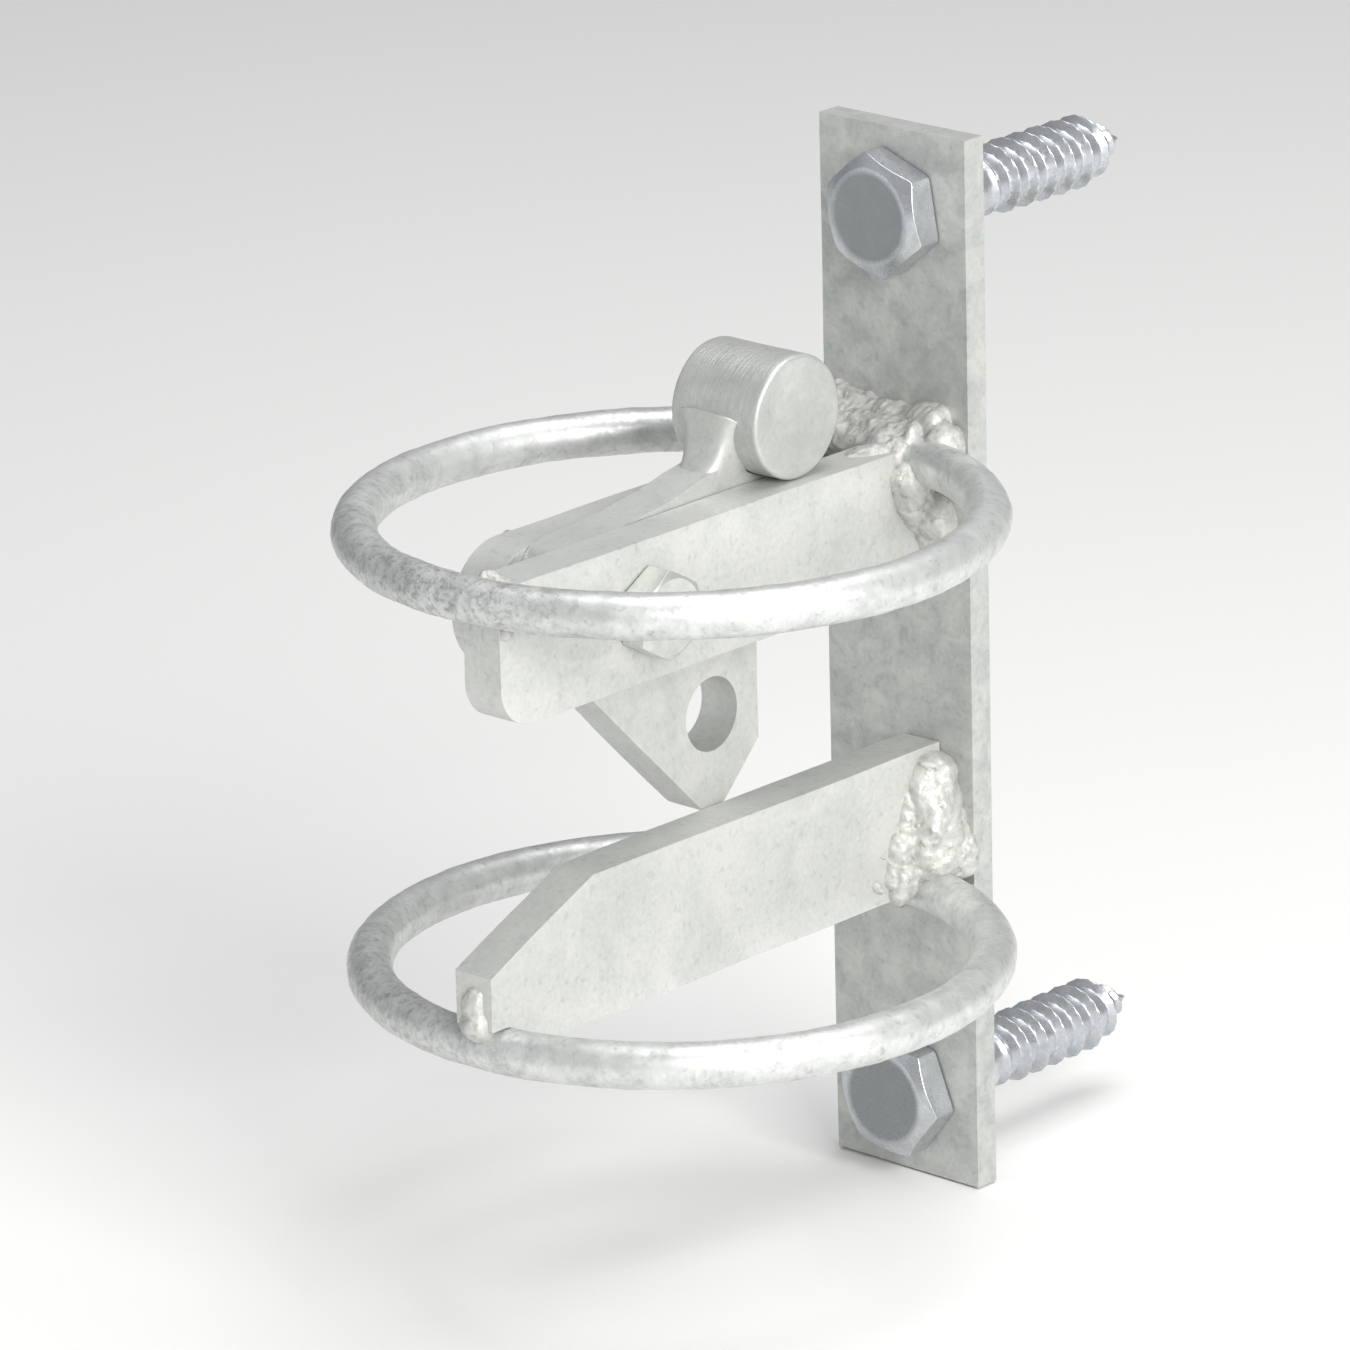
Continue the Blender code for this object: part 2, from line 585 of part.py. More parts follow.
# ---------------------------------------------------------------- assembly
def build_latch():
    clear_scene()
    galvanised = make_material("galvanised_plate", (0.60, 0.61, 0.60), 0.55, 0.75)
    rod = make_material("galvanised_rod", (0.68, 0.69, 0.68), 0.42, 0.80)
    pawl_steel = make_material("galvanised_pawl", (0.64, 0.65, 0.64), 0.50, 0.75)
    weight_steel = make_material("weight_steel", (0.62, 0.62, 0.61), 0.45, 0.75)
    weld = make_material("weld_zinc", (0.76, 0.77, 0.76), 0.38, 0.80)
    fastener = make_material("zinc_fastener", (0.50, 0.53, 0.58), 0.35, 0.90)
    nylon = make_material("nylon", (0.10, 0.22, 0.55), 0.45, 0.0)

    pawl = bpy.data.objects.new("pawl_axis", None)
    pawl.location = (0, PIVOT_Y, PIVOT_Z)
    bpy.context.scene.collection.objects.link(pawl)

    build_back_plate(galvanised)
    build_coach_screw("upper_coach_screw", screw_height(), UPPER_SCREW_ROLL, fastener)
    build_coach_screw("lower_coach_screw", -screw_height(), LOWER_SCREW_ROLL, fastener)
    build_ring("upper_ring", RING_HEIGHT, rod)
    build_ring("lower_ring", -RING_HEIGHT, rod)
    upper_seat = seat_cutter("upper_ring_seat", RING_HEIGHT)
    lower_seat = seat_cutter("lower_ring_seat", -RING_HEIGHT)
    hole = pivot_cutter()
    build_upper_arm(galvanised, upper_seat, hole)
    build_side_cheek(galvanised, upper_seat, hole)
    build_lower_arm(galvanised, lower_seat)
    build_pivot(fastener, nylon)
    build_pawl(pawl, pawl_steel, weight_steel, weld, hole)
    build_welds(weld)


build_latch()
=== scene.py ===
"""Looks of a hot-dip galvanised gravity gate latch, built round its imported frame.

Every piece is a surface worked out with numpy as grids of points, in the frame's own axes:
+X to the right seen from the front, the front of the latch faces -Y, +Z up, in metres.
"""

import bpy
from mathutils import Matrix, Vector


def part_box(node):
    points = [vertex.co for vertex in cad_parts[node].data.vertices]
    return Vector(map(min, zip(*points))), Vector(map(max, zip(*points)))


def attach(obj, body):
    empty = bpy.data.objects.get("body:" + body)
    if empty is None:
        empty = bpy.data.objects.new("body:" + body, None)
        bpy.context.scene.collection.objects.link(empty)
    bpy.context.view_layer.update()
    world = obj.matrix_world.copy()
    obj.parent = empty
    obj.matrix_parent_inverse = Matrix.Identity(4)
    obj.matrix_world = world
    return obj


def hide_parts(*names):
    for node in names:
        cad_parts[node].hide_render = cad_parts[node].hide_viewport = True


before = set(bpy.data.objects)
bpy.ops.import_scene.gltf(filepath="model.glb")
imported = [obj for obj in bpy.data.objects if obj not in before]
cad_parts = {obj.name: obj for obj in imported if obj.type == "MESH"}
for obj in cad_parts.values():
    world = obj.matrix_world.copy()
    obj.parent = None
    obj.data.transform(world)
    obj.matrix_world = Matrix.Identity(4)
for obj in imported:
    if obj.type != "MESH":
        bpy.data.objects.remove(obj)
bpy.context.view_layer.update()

import math

import bmesh
import bpy
import numpy as np
from bpy.props import FloatProperty, FloatVectorProperty, PointerProperty
from mathutils import Matrix, Vector

bl_info = {
    "name": "Gravity Gate Latch",
    "version": (1, 0, 0),
    "blender": (4, 5, 0),
    "location": "View3D > Sidebar > Gate Latch",
    "description": "A galvanised gate latch with two guard rings and a weighted pawl",
    "category": "Add Mesh",
}

FRAME_BODY = "frame"
PAWL_BODY = "pawl"

# ---------------------------------------------------------------- places, from the frame
PLATE_LOW, PLATE_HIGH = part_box("back_plate")
ARM_LOW, ARM_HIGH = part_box("upper_arm")
CHEEK_LOW, CHEEK_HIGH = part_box("side_cheek")
STOP_LOW, STOP_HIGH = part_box("lower_arm")
PAWL_LOW, PAWL_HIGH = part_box("pawl_plate")
WEIGHT_LOW, WEIGHT_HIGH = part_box("pawl_weight")
RING_LOW, RING_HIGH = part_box("upper_ring")
LOWER_RING_LOW, LOWER_RING_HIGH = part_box("lower_ring")
BOLT_LOW, BOLT_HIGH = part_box("pivot_bolt")
WASHER_LOW, WASHER_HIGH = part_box("pivot_washer")
NUT_LOW, NUT_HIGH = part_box("pivot_lock_nut")
COLLAR_LOW, COLLAR_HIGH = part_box("lock_nut_insert")
SCREW_LOW, SCREW_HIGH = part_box("upper_coach_screw")

FACE_Y = PLATE_LOW.y
BAR_RADIUS = (RING_HIGH.z - RING_LOW.z) / 2
RING_RADIUS = (RING_HIGH.x - RING_LOW.x) / 2 - BAR_RADIUS
RING_Y = (RING_HIGH.y + RING_LOW.y) / 2
RING_Z = {"upper_ring": (RING_LOW.z + RING_HIGH.z) / 2,
          "lower_ring": (LOWER_RING_LOW.z + LOWER_RING_HIGH.z) / 2}
RING_REAR_Y = RING_Y + RING_RADIUS
RING_FRONT_Y = RING_Y - RING_RADIUS
PIVOT_Y = (WASHER_LOW.y + WASHER_HIGH.y) / 2
PIVOT_Z = (WASHER_LOW.z + WASHER_HIGH.z) / 2
WEIGHT_Y = (WEIGHT_LOW.y + WEIGHT_HIGH.y) / 2
WEIGHT_Z = (WEIGHT_LOW.z + WEIGHT_HIGH.z) / 2
WEIGHT_RADIUS = (WEIGHT_HIGH.y - WEIGHT_LOW.y) / 2
SCREW_Z = (SCREW_LOW.z + SCREW_HIGH.z) / 2

SEAT_GAP = 0.0003          # between a ring's bar and the seat that is cut for it
ARM_NOSE = 0.009           # radius of the upper arm's lower front corner
STOP_SLOPE = 0.031         # length of the lower arm's sloping cut
STOP_FRONT_TOP = -0.0308   # where that cut ends on the front
PAWL_BOSS = 0.0185
LOCK_EDGE = -0.0516        # Y of the pawl's upright edge, which holds the rail
PADLOCK_CENTRE = (-0.0660, 0.0030)
PADLOCK_HOLE = 0.008
SEAT_RADIUS = BAR_RADIUS + SEAT_GAP
PIVOT_HOLE = 0.0053
BOLT_RADIUS = 0.005
BOLT_FLATS = 0.017
BOLT_HEAD = 0.0065
BOLT_FACE = 0.47           # radius of a head's flat end, as a share of its flats
SCREW_HOLE = 0.0086
SCREW_RADIUS = 0.008
SCREW_FLATS = 0.024
SCREW_HEAD = 0.0075
SCREW_FACE = 0.43
SCREW_PLAIN = 0.024        # length of the shank before the thread
SCREW_ROOT = 0.006
MILLIMETRE = 0.001
BEAD_STEP = 0.00022        # along a weld bead, from row to row
TINY = 1e-6                # points closer than this are one point


# ---------------------------------------------------------------- settings
def size_setting(name, description, default):
    """A size setting, in metres."""
    return FloatProperty(name=name, description=description, default=default, unit="LENGTH")


def colour_setting(name, description, default):
    """A colour setting."""
    return FloatVectorProperty(name=name, description=description, default=default, subtype="COLOR")


class LatchSizes(bpy.types.PropertyGroup):
    """How the steel was worked and how thick the zinc lies on it."""

    edge_roll: size_setting("Edge roll", "Radius on the edges of the cut plates", 0.0008)
    arm_roll: size_setting("Arm roll", "Radius on the edges of the arms, thick with zinc", 0.0014)
    plate_wave: size_setting("Plate wave", "Unevenness of the flat bar's faces", 0.00012)
    zinc_wave: size_setting("Zinc wave", "Uneven zinc on the round bar", 0.00016)
    weld_lumps: size_setting("Weld lumps", "Height of the lumps on a weld bead", 0.0004)
    weld_grain: size_setting("Weld grain", "Smallest step of a weld's skin", 0.0003)
    weld_ripple: size_setting("Weld ripple", "Distance from ripple to ripple along a bead", 0.0021)
    bolt_pitch: size_setting("Bolt pitch", "Pitch of the pivot bolt's thread", 0.0015)
    screw_pitch: size_setting("Screw pitch", "Pitch of the coach screws' wood thread", 0.006)
    lens: FloatProperty(
        name="Lens", description="Focal length of the camera", default=240.0, unit="CAMERA")


class LatchFinishes(bpy.types.PropertyGroup):
    """Colours of the finishes."""

    zinc: colour_setting("Zinc", "Dull new zinc on the flat bar", (0.65, 0.66, 0.63))
    zinc_shade: colour_setting("Zinc shade", "Darker clouds in the zinc", (0.44, 0.46, 0.45))
    rod: colour_setting("Rod", "Smoother zinc on the round bar", (0.72, 0.73, 0.72))
    rod_shade: colour_setting("Rod shade", "Dross and grey clouds on the rod", (0.36, 0.38, 0.37))
    weld: colour_setting("Weld", "Thick zinc on the welds", (0.60, 0.60, 0.58))
    # Weld shade tints the weld's clouds and is also the painted shade laid in the hollows between its
    # lumps.
    weld_cloud_and_crease_shade: colour_setting("Weld shade", "Clouds, and painted shade between the weld's lumps", (0.30, 0.30, 0.28))
    fastener: colour_setting("Fastener", "Zinc plating on bolts and screws", (0.62, 0.64, 0.67))
    fastener_face: colour_setting("Fastener face", "Dark blue-grey end of a head", (0.20, 0.22, 0.23))
    nylon: colour_setting("Nylon", "Collar in the lock nut", (0.06, 0.17, 0.50))
    floor: colour_setting("Floor", "Pale floor of the studio", (0.86, 0.86, 0.85))


# ---------------------------------------------------------------- numpy shapes
def waves(points, size, seed, count=20):
    """Smooth unevenness, mostly between -1 and 1.

    The mean of cosine waves, each about `size` long, that run in random directions.
    """
    rng = np.random.default_rng(seed)
    directions = rng.normal(size=(count, 3))
    directions /= np.linalg.norm(directions, axis=1, keepdims=True)
    lengths = size * rng.uniform(0.7, 1.6, count)
    phases = rng.uniform(0, 2 * np.pi, count)
    turns = np.asarray(points) @ (directions * (2 * np.pi / lengths[:, None])).T + phases
    return np.cos(turns).sum(-1) / math.sqrt(count)


def warp(points, amount, size, seed):
    """Points moved by three wave fields, one for each axis."""
    return points + amount * np.stack([waves(points, size, seed + axis) for axis in range(3)], -1)


def warped_inside(grids, amount, size, seed, low, high):
    """Grids made uneven by waves, with no point past the box that they were cut to."""
    return [np.clip(warp(grid, amount, size, seed), low, high) for grid in grids]


def arc(centre, radius, start, end, steps):
    """Points on a circle's arc; angles are in degrees from the first axis to the second."""
    angle = np.radians(np.linspace(start, end, steps + 1))
    return np.stack([centre[0] + radius * np.cos(angle), centre[1] + radius * np.sin(angle)], 1)


def even_loop(corners, spacing):
    """A closed outline with its corners kept and each side cut into steps of about `spacing`."""
    corners = np.asarray(corners, float)
    ends = np.roll(corners, -1, axis=0)
    sides = np.linalg.norm(ends - corners, axis=1)
    counts = np.maximum(1, np.round(sides / spacing).astype(int))
    side = np.repeat(np.arange(len(corners)), counts)
    step = np.arange(counts.sum()) - np.repeat(np.cumsum(counts) - counts, counts)
    share = (step / counts[side])[:, None]
    return corners[side] * (1 - share) + ends[side] * share


def spokes(loop, centre, radius, rows):
    """Flat region between a round hole and an outline.

    Each outline point is joined to the hole by a straight line towards the hole's centre,
    and every line is cut into the same number of steps, finer near the outline.
    """
    reach = loop - np.asarray(centre)
    rim = centre + reach / np.linalg.norm(reach, axis=1, keepdims=True) * radius
    share = np.sin(np.linspace(0, np.pi / 2, rows))[:, None, None]
    return rim + (loop - rim) * share


def plate_grids(outline, regions, near, far, place):
    """All the faces of a plate of even thickness.

    `regions` are (loop, hole centre, hole radius) and together fill the outline. Each gives its
    two flat faces and its hole's wall; the outline, swept from `near` to `far`, gives the edge.
    """
    depth = np.linspace(near, far, 7)
    grids = []
    for loop, centre, radius in regions:
        flat = spokes(loop, centre, radius, 14)
        grids += [place(flat, np.full(flat.shape[:2], level)) for level in (near, far)]
        if radius:
            wall = np.repeat(flat[:1], len(depth), axis=0)
            grids.append(place(wall, np.repeat(depth[:, None], wall.shape[1], axis=1)))
    edge = np.repeat(outline[None], len(depth), axis=0)
    grids.append(place(edge, np.repeat(depth[:, None], edge.shape[1], axis=1)))
    return grids


def upright(flat, depth):
    """Y-Z outline points with their depth along X."""
    return np.stack([depth, flat[..., 0], flat[..., 1]], -1)


def facing_front(flat, depth):
    """X-Z outline points with their depth along Y."""
    return np.stack([flat[..., 0], depth, flat[..., 1]], -1)


def ring_grid(height, zinc_wave, seed):
    """A round bar bent into a circle: the bar's angle by the turn, its radius uneven with zinc."""
    turn = np.linspace(0, 2 * np.pi, 288, endpoint=False)[:, None]
    roll = np.linspace(0, 2 * np.pi, 40, endpoint=False)[None, :]

    def place(radius):
        reach = RING_RADIUS + radius * np.cos(roll)
        return np.stack([reach * np.cos(turn), RING_Y + reach * np.sin(turn),
                         height + radius * np.sin(roll) + 0 * turn], -1)
    bare = place(BAR_RADIUS - zinc_wave)
    coat = waves(bare, 0.016, seed) * 0.45 + waves(bare, 0.004, seed + 1) * 0.30
    run = np.clip(waves(bare, 0.009, seed + 2) - 0.9, 0, 1) * np.clip(-np.sin(roll), 0, 1)
    return place(BAR_RADIUS - zinc_wave + zinc_wave * np.clip(coat + run * 1.5, -1, 1))


def hex_reach(angle, across_flats):
    """Distance from a hexagon's centre to its side, with the corners slightly rounded."""
    side = across_flats / 2 / np.cos(np.mod(angle, np.pi / 3) - np.pi / 6)
    return np.minimum(side, across_flats / math.sqrt(3) * 0.985)


def turned_grid(sections, angle, place):
    """Circles or other closed sections along an axis, each given as (height, radius)."""
    height = np.stack([np.broadcast_to(h, angle.shape) for h, _ in sections])
    radius = np.stack([np.broadcast_to(r, angle.shape) for _, r in sections])
    return place(height, radius, angle[None])


def head_sections(angle, across_flats, height, face_share):
    """A forged hexagon head whose end is at -height.

    A flat round end with a shallow dish, a 30 degree cone that runs out into the six sides,
    and the sides down to the bearing face.
    """
    side = hex_reach(angle, across_flats)
    face = across_flats * face_share
    slope = math.tan(math.radians(30))
    dish = 0.0002
    sections = [(-height + dish * (1 - part ** 4), face * part) for part in np.linspace(0, 1, 9)]
    sections += [(-height + (side - face) * part * slope, face + (side - face) * part)
                 for part in np.linspace(0, 1, 7)[1:]]
    rim = -height + (side - face) * slope
    sections += [(rim * (1 - part), side) for part in np.linspace(0, 1, 7)[1:]]
    return sections


def edge_profile(radius, inner, low, high, roll, steps=4):
    """Sections of a disc or ring with rounded outer edges, from `inner` out, over and back in."""
    turn = np.linspace(0, np.pi / 2, steps + 1)
    sections = [(low, inner)]
    sections += [(low + roll * (1 - math.cos(t)), radius - roll * (1 - math.sin(t))) for t in turn]
    sections += [(high - roll * (1 - math.sin(t)), radius - roll * (1 - math.cos(t))) for t in turn]
    sections.append((high, inner))
    return sections


def smooth_path(points, count):
    """A Catmull-Rom curve through a few points, which may carry a radius as a fourth value."""
    points = np.asarray(points, float)
    padded = np.vstack([2 * points[0] - points[1], points, 2 * points[-1] - points[-2]])
    position = np.linspace(0, len(points) - 1, count)
    start = np.minimum(position.astype(int), len(points) - 2)
    t = (position - start)[:, None]
    a, b, c, d = (padded[start + step] for step in range(4))
    return 0.5 * (2 * b + (c - a) * t + (2 * a - 5 * b + 4 * c - d) * t ** 2
                  + (3 * b - a - 3 * c + d) * t ** 3)


def bead_grid(points, outward, sizes, seed):
    """A weld bead: a round section carried along a curve.

    Its radius is the curve's own, closed off like an egg at both ends, with scallops one ripple
    apart and lumps from two sizes of wave.
    """
    length = np.linalg.norm(np.diff(points[:, :3], axis=0), axis=1).sum()
    widest = points[:, 3].max()
    rows = int(np.clip((length + 2 * widest) / BEAD_STEP, 26, 220))
    path = smooth_path(points, rows)
    centre, radius = path[:, :3], path[:, 3]
    along = np.gradient(centre, axis=0)
    along /= np.linalg.norm(along, axis=1, keepdims=True)
    outward = np.array(outward, float)
    out = outward - (along @ outward)[:, None] * along
    out /= np.linalg.norm(out, axis=1, keepdims=True)
    across = np.cross(along, out)
    share = np.linspace(0, 1, rows)
    walked = (share * length)[:, None]
    end = min(0.6 * widest / max(length, widest), 0.5)
    to_end = np.clip(np.minimum(share, 1 - share) / end, 0, 1)
    closing = (1 - (1 - to_end) ** 3) ** 0.45
    turn = np.linspace(0, 2 * np.pi, 44, endpoint=False)
    lag = 0.25 * radius[:, None] * np.cos(turn) ** 2
    scallop = np.abs(np.sin(np.pi * (walked - lag) / sizes.weld_ripple))
    direction = out[:, None] * np.cos(turn)[:, None] + across[:, None] * np.sin(turn)[:, None]
    bare = centre[:, None] + direction * (radius * closing)[:, None, None]
    rough = waves(bare, 0.0060, seed) * 0.9 + waves(bare, 0.0018, seed + 7) * 0.45
    swell = (0.25 * scallop + rough) * sizes.weld_lumps * closing[:, None]
    return bare + direction * swell[..., None]


# ---------------------------------------------------------------- pieces into the scene
def quads(rows, columns, start, closed):
    """Faces between neighbouring points of a grid whose rows, and perhaps columns, close up."""
    row = np.arange(rows if closed else rows - 1)[:, None]
    column = np.arange(columns)[None, :]
    next_row, next_column = (row + 1) % rows, (column + 1) % columns
    corners = [row * columns + column, row * columns + next_column,
               next_row * columns + next_column, next_row * columns + column]
    return np.stack(np.broadcast_arrays(*corners), -1).reshape(-1, 4) + start


def make_mesh(name, grids, closed=False, mask=None):
    """One closed mesh from grids of points: doubles merged, poles closed, faces turned out."""
    starts = np.cumsum([0] + [grid.shape[0] * grid.shape[1] for grid in grids])
    points = np.concatenate([grid.reshape(-1, 3) for grid in grids])
    faces = np.concatenate([quads(*grid.shape[:2], start, closed) for grid, start in zip(grids, starts)])
    mesh = bpy.data.meshes.new(name)
    mesh.from_pydata(points, [], faces.tolist())
    if mask is not None:
        layer = mesh.attributes.new("head_end", "FLOAT", "POINT")
        layer.data.foreach_set("value", np.asarray(mask, np.float32).ravel())
    shape = bmesh.new()
    shape.from_mesh(mesh)
    bmesh.ops.remove_doubles(shape, verts=shape.verts, dist=TINY)
    bmesh.ops.recalc_face_normals(shape, faces=shape.faces)
    shape.to_mesh(mesh)
    shape.free()
    mesh.shade_smooth()
    return mesh


def add_piece(name, mesh, material, body, node):
    """A finished piece: shown in the place of its CAD node and riding on the same body."""
    mesh.materials.append(material)
    piece = bpy.data.objects.new(name, mesh)
    bpy.context.scene.collection.objects.link(piece)
    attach(piece, body)
    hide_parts(node)
    return piece


def fuse(piece, grain):
    """A voxel Remesh and a Smooth that melt overlapping beads into one flowing skin."""
    melt = piece.modifiers.new("melt", "REMESH")
    melt.mode = "VOXEL"
    melt.voxel_size = grain
    melt.use_smooth_shade = True
    soften = piece.modifiers.new("soften", "SMOOTH")
    soften.factor = 0.5
    soften.iterations = 10


def roll_edges(piece, width, segments=3, angle=40):
    """A Bevel that rounds every sharp edge and keeps the flat faces flat."""
    bevel = piece.modifiers.new("edge roll", "BEVEL")
    bevel.width = width
    bevel.segments = segments
    bevel.limit_method = "ANGLE"
    bevel.angle_limit = math.radians(angle)
    bevel.harden_normals = True


# ---------------------------------------------------------------- material building
def add_node(tree, kind, values=None, links=None, **settings):
    """A node with its settings, its input values, and the sockets that feed it."""
    made = tree.nodes.new(kind)
    for key, value in settings.items():
        setattr(made, key, value)
    for key, value in (values or {}).items():
        made.inputs[key].default_value = value
    for key, socket in (links or {}).items():
        tree.links.new(socket, made.inputs[key])
    return made


def calculate(tree, operation, first, second=None):
    """One Math node on sockets or numbers, giving its output socket."""
    made = tree.nodes.new("ShaderNodeMath")
    made.operation = operation
    for index, value in enumerate((first, second)):
        if isinstance(value, bpy.types.NodeSocket):
            tree.links.new(value, made.inputs[index])
        elif value is not None:
            made.inputs[index].default_value = value
    return made.outputs[0]


def times(tree, first, second):
    return calculate(tree, "MULTIPLY", first, second)


def plus(tree, first, second):
    return calculate(tree, "ADD", first, second)


def ramp(tree, socket, low, high, to_low=0.0, to_high=1.0):
    """A Map Range from low..high to the new range, held at its ends."""
    made = add_node(tree, "ShaderNodeMapRange",
                    {"From Min": low, "From Max": high, "To Min": to_low, "To Max": to_high},
                    {"Value": socket})
    return made.outputs[0]


def blend_colour(tree, factor, first, second, mode="MIX"):
    """A colour Mix node on sockets or colours."""
    made = add_node(tree, "ShaderNodeMix", data_type="RGBA", blend_type=mode)
    for index, value in ((0, factor), (6, first), (7, second)):
        if isinstance(value, bpy.types.NodeSocket):
            tree.links.new(value, made.inputs[index])
        else:
            made.inputs[index].default_value = value
    return made.outputs[2]


def make_group(name, inputs, outputs):
    """An empty shader node group with its sockets, and its input and output nodes."""
    group = bpy.data.node_groups.new(name, "ShaderNodeTree")
    for label, kind, value in inputs:
        socket = group.interface.new_socket(label, in_out="INPUT", socket_type="NodeSocket" + kind)
        if value is not None:
            socket.default_value = value
    for label, kind in outputs:
        group.interface.new_socket(label, in_out="OUTPUT", socket_type="NodeSocket" + kind)
    return group, group.nodes.new("NodeGroupInput").outputs, group.nodes.new("NodeGroupOutput")


def zinc_bloom_group():
    """Clouds, grain and dross flecks of hot-dip zinc: colour, roughness and height."""
    name = "Zinc Bloom"
    if name in bpy.data.node_groups:
        return bpy.data.node_groups[name]
    group, given, result = make_group(
        name,
        [("Position", "Vector", None), ("Light", "Color", None), ("Shade", "Color", None),
         ("Cloud Size", "Float", 0.012), ("Cloud Strength", "Float", 0.8),
         ("Grain Size", "Float", 0.0012), ("Flecks", "Float", 0.3), ("Roughness", "Float", 0.5)],
        [("Color", "Color"), ("Roughness", "Float"), ("Height", "Float")])
    position = given["Position"]
    clouds = add_node(group, "ShaderNodeTexNoise", {"Detail": 5.0, "Roughness": 0.62, "Distortion": 0.6},
                      {"Vector": position, "Scale": calculate(group, "DIVIDE", 1.0, given["Cloud Size"])})
    grain = add_node(group, "ShaderNodeTexNoise", {"Detail": 3.0, "Roughness": 0.6},
                     {"Vector": position, "Scale": calculate(group, "DIVIDE", 1.0, given["Grain Size"])})
    spots = add_node(group, "ShaderNodeTexNoise", {"Detail": 2.0, "Scale": 520.0, "Distortion": 0.3},
                     {"Vector": position})
    cloud = ramp(group, clouds.outputs[0], 0.34, 0.66)
    mottle = times(group, cloud, given["Cloud Strength"])
    speck = times(group, ramp(group, spots.outputs[0], 0.60, 0.70), given["Flecks"])
    fine = ramp(group, grain.outputs[0], 0.3, 0.7, -0.14, 0.14)
    shade = plus(group, plus(group, mottle, fine), speck)
    clamped = ramp(group, shade, 0.0, 1.0)
    group.links.new(blend_colour(group, clamped, given["Light"], given["Shade"]), result.inputs["Color"])
    rough = plus(group, given["Roughness"], times(group, fine, 0.6))
    rough = plus(group, rough, times(group, mottle, 0.10))
    group.links.new(rough, result.inputs["Roughness"])
    low_relief = times(group, clouds.outputs[0], 0.55)
    relief = plus(group, low_relief, times(group, grain.outputs[0], 0.35))
    relief = plus(group, relief, times(group, speck, 0.5))
    group.links.new(relief, result.inputs["Height"])
    return group


def dross_patch_group():
    """Dark speckled dross that gathers round one place and fades away from it: a mask."""
    name = "Dross Patch"
    if name in bpy.data.node_groups:
        return bpy.data.node_groups[name]
    group, given, result = make_group(
        name,
        [("Position", "Vector", None), ("Centre", "Vector", None), ("Reach", "Float", 0.05),
         ("Speck Size", "Float", 0.0017), ("Strength", "Float", 1.0)],
        [("Mask", "Float")])
    away = add_node(group, "ShaderNodeVectorMath", links={0: given["Position"], 1: given["Centre"]},
                    operation="DISTANCE")
    near = calculate(group, "DIVIDE", away.outputs["Value"], given["Reach"])
    falloff = ramp(group, near, 0.3, 1.0, 1.0, 0.0)
    specks = add_node(group, "ShaderNodeTexNoise", {"Detail": 4.0, "Roughness": 0.7},
                      {"Vector": given["Position"],
                       "Scale": calculate(group, "DIVIDE", 1.0, given["Speck Size"])})
    broken = ramp(group, specks.outputs[0], 0.47, 0.66)
    mask = times(group, times(group, broken, falloff), given["Strength"])
    group.links.new(mask, result.inputs["Mask"])
    return group


def drawn_lines_group():
    """Fine parallel marks of turning or rolling: noise stretched along the steel."""
    name = "Drawn Lines"
    if name in bpy.data.node_groups:
        return bpy.data.node_groups[name]
    group, given, result = make_group(
        name, [("Position", "Vector", None), ("Stretch", "Vector", None)], [("Mask", "Float")])
    scaled = add_node(group, "ShaderNodeVectorMath", links={0: given["Position"], 1: given["Stretch"]},
                      operation="MULTIPLY")
    lines = add_node(group, "ShaderNodeTexNoise", {"Scale": 1.0, "Detail": 4.0, "Roughness": 0.7},
                     {"Vector": scaled.outputs[0]})
    group.links.new(ramp(group, lines.outputs[0], 0.35, 0.65), result.inputs["Mask"])
    return group


def opaque(colour):
    return (*colour, 1.0)


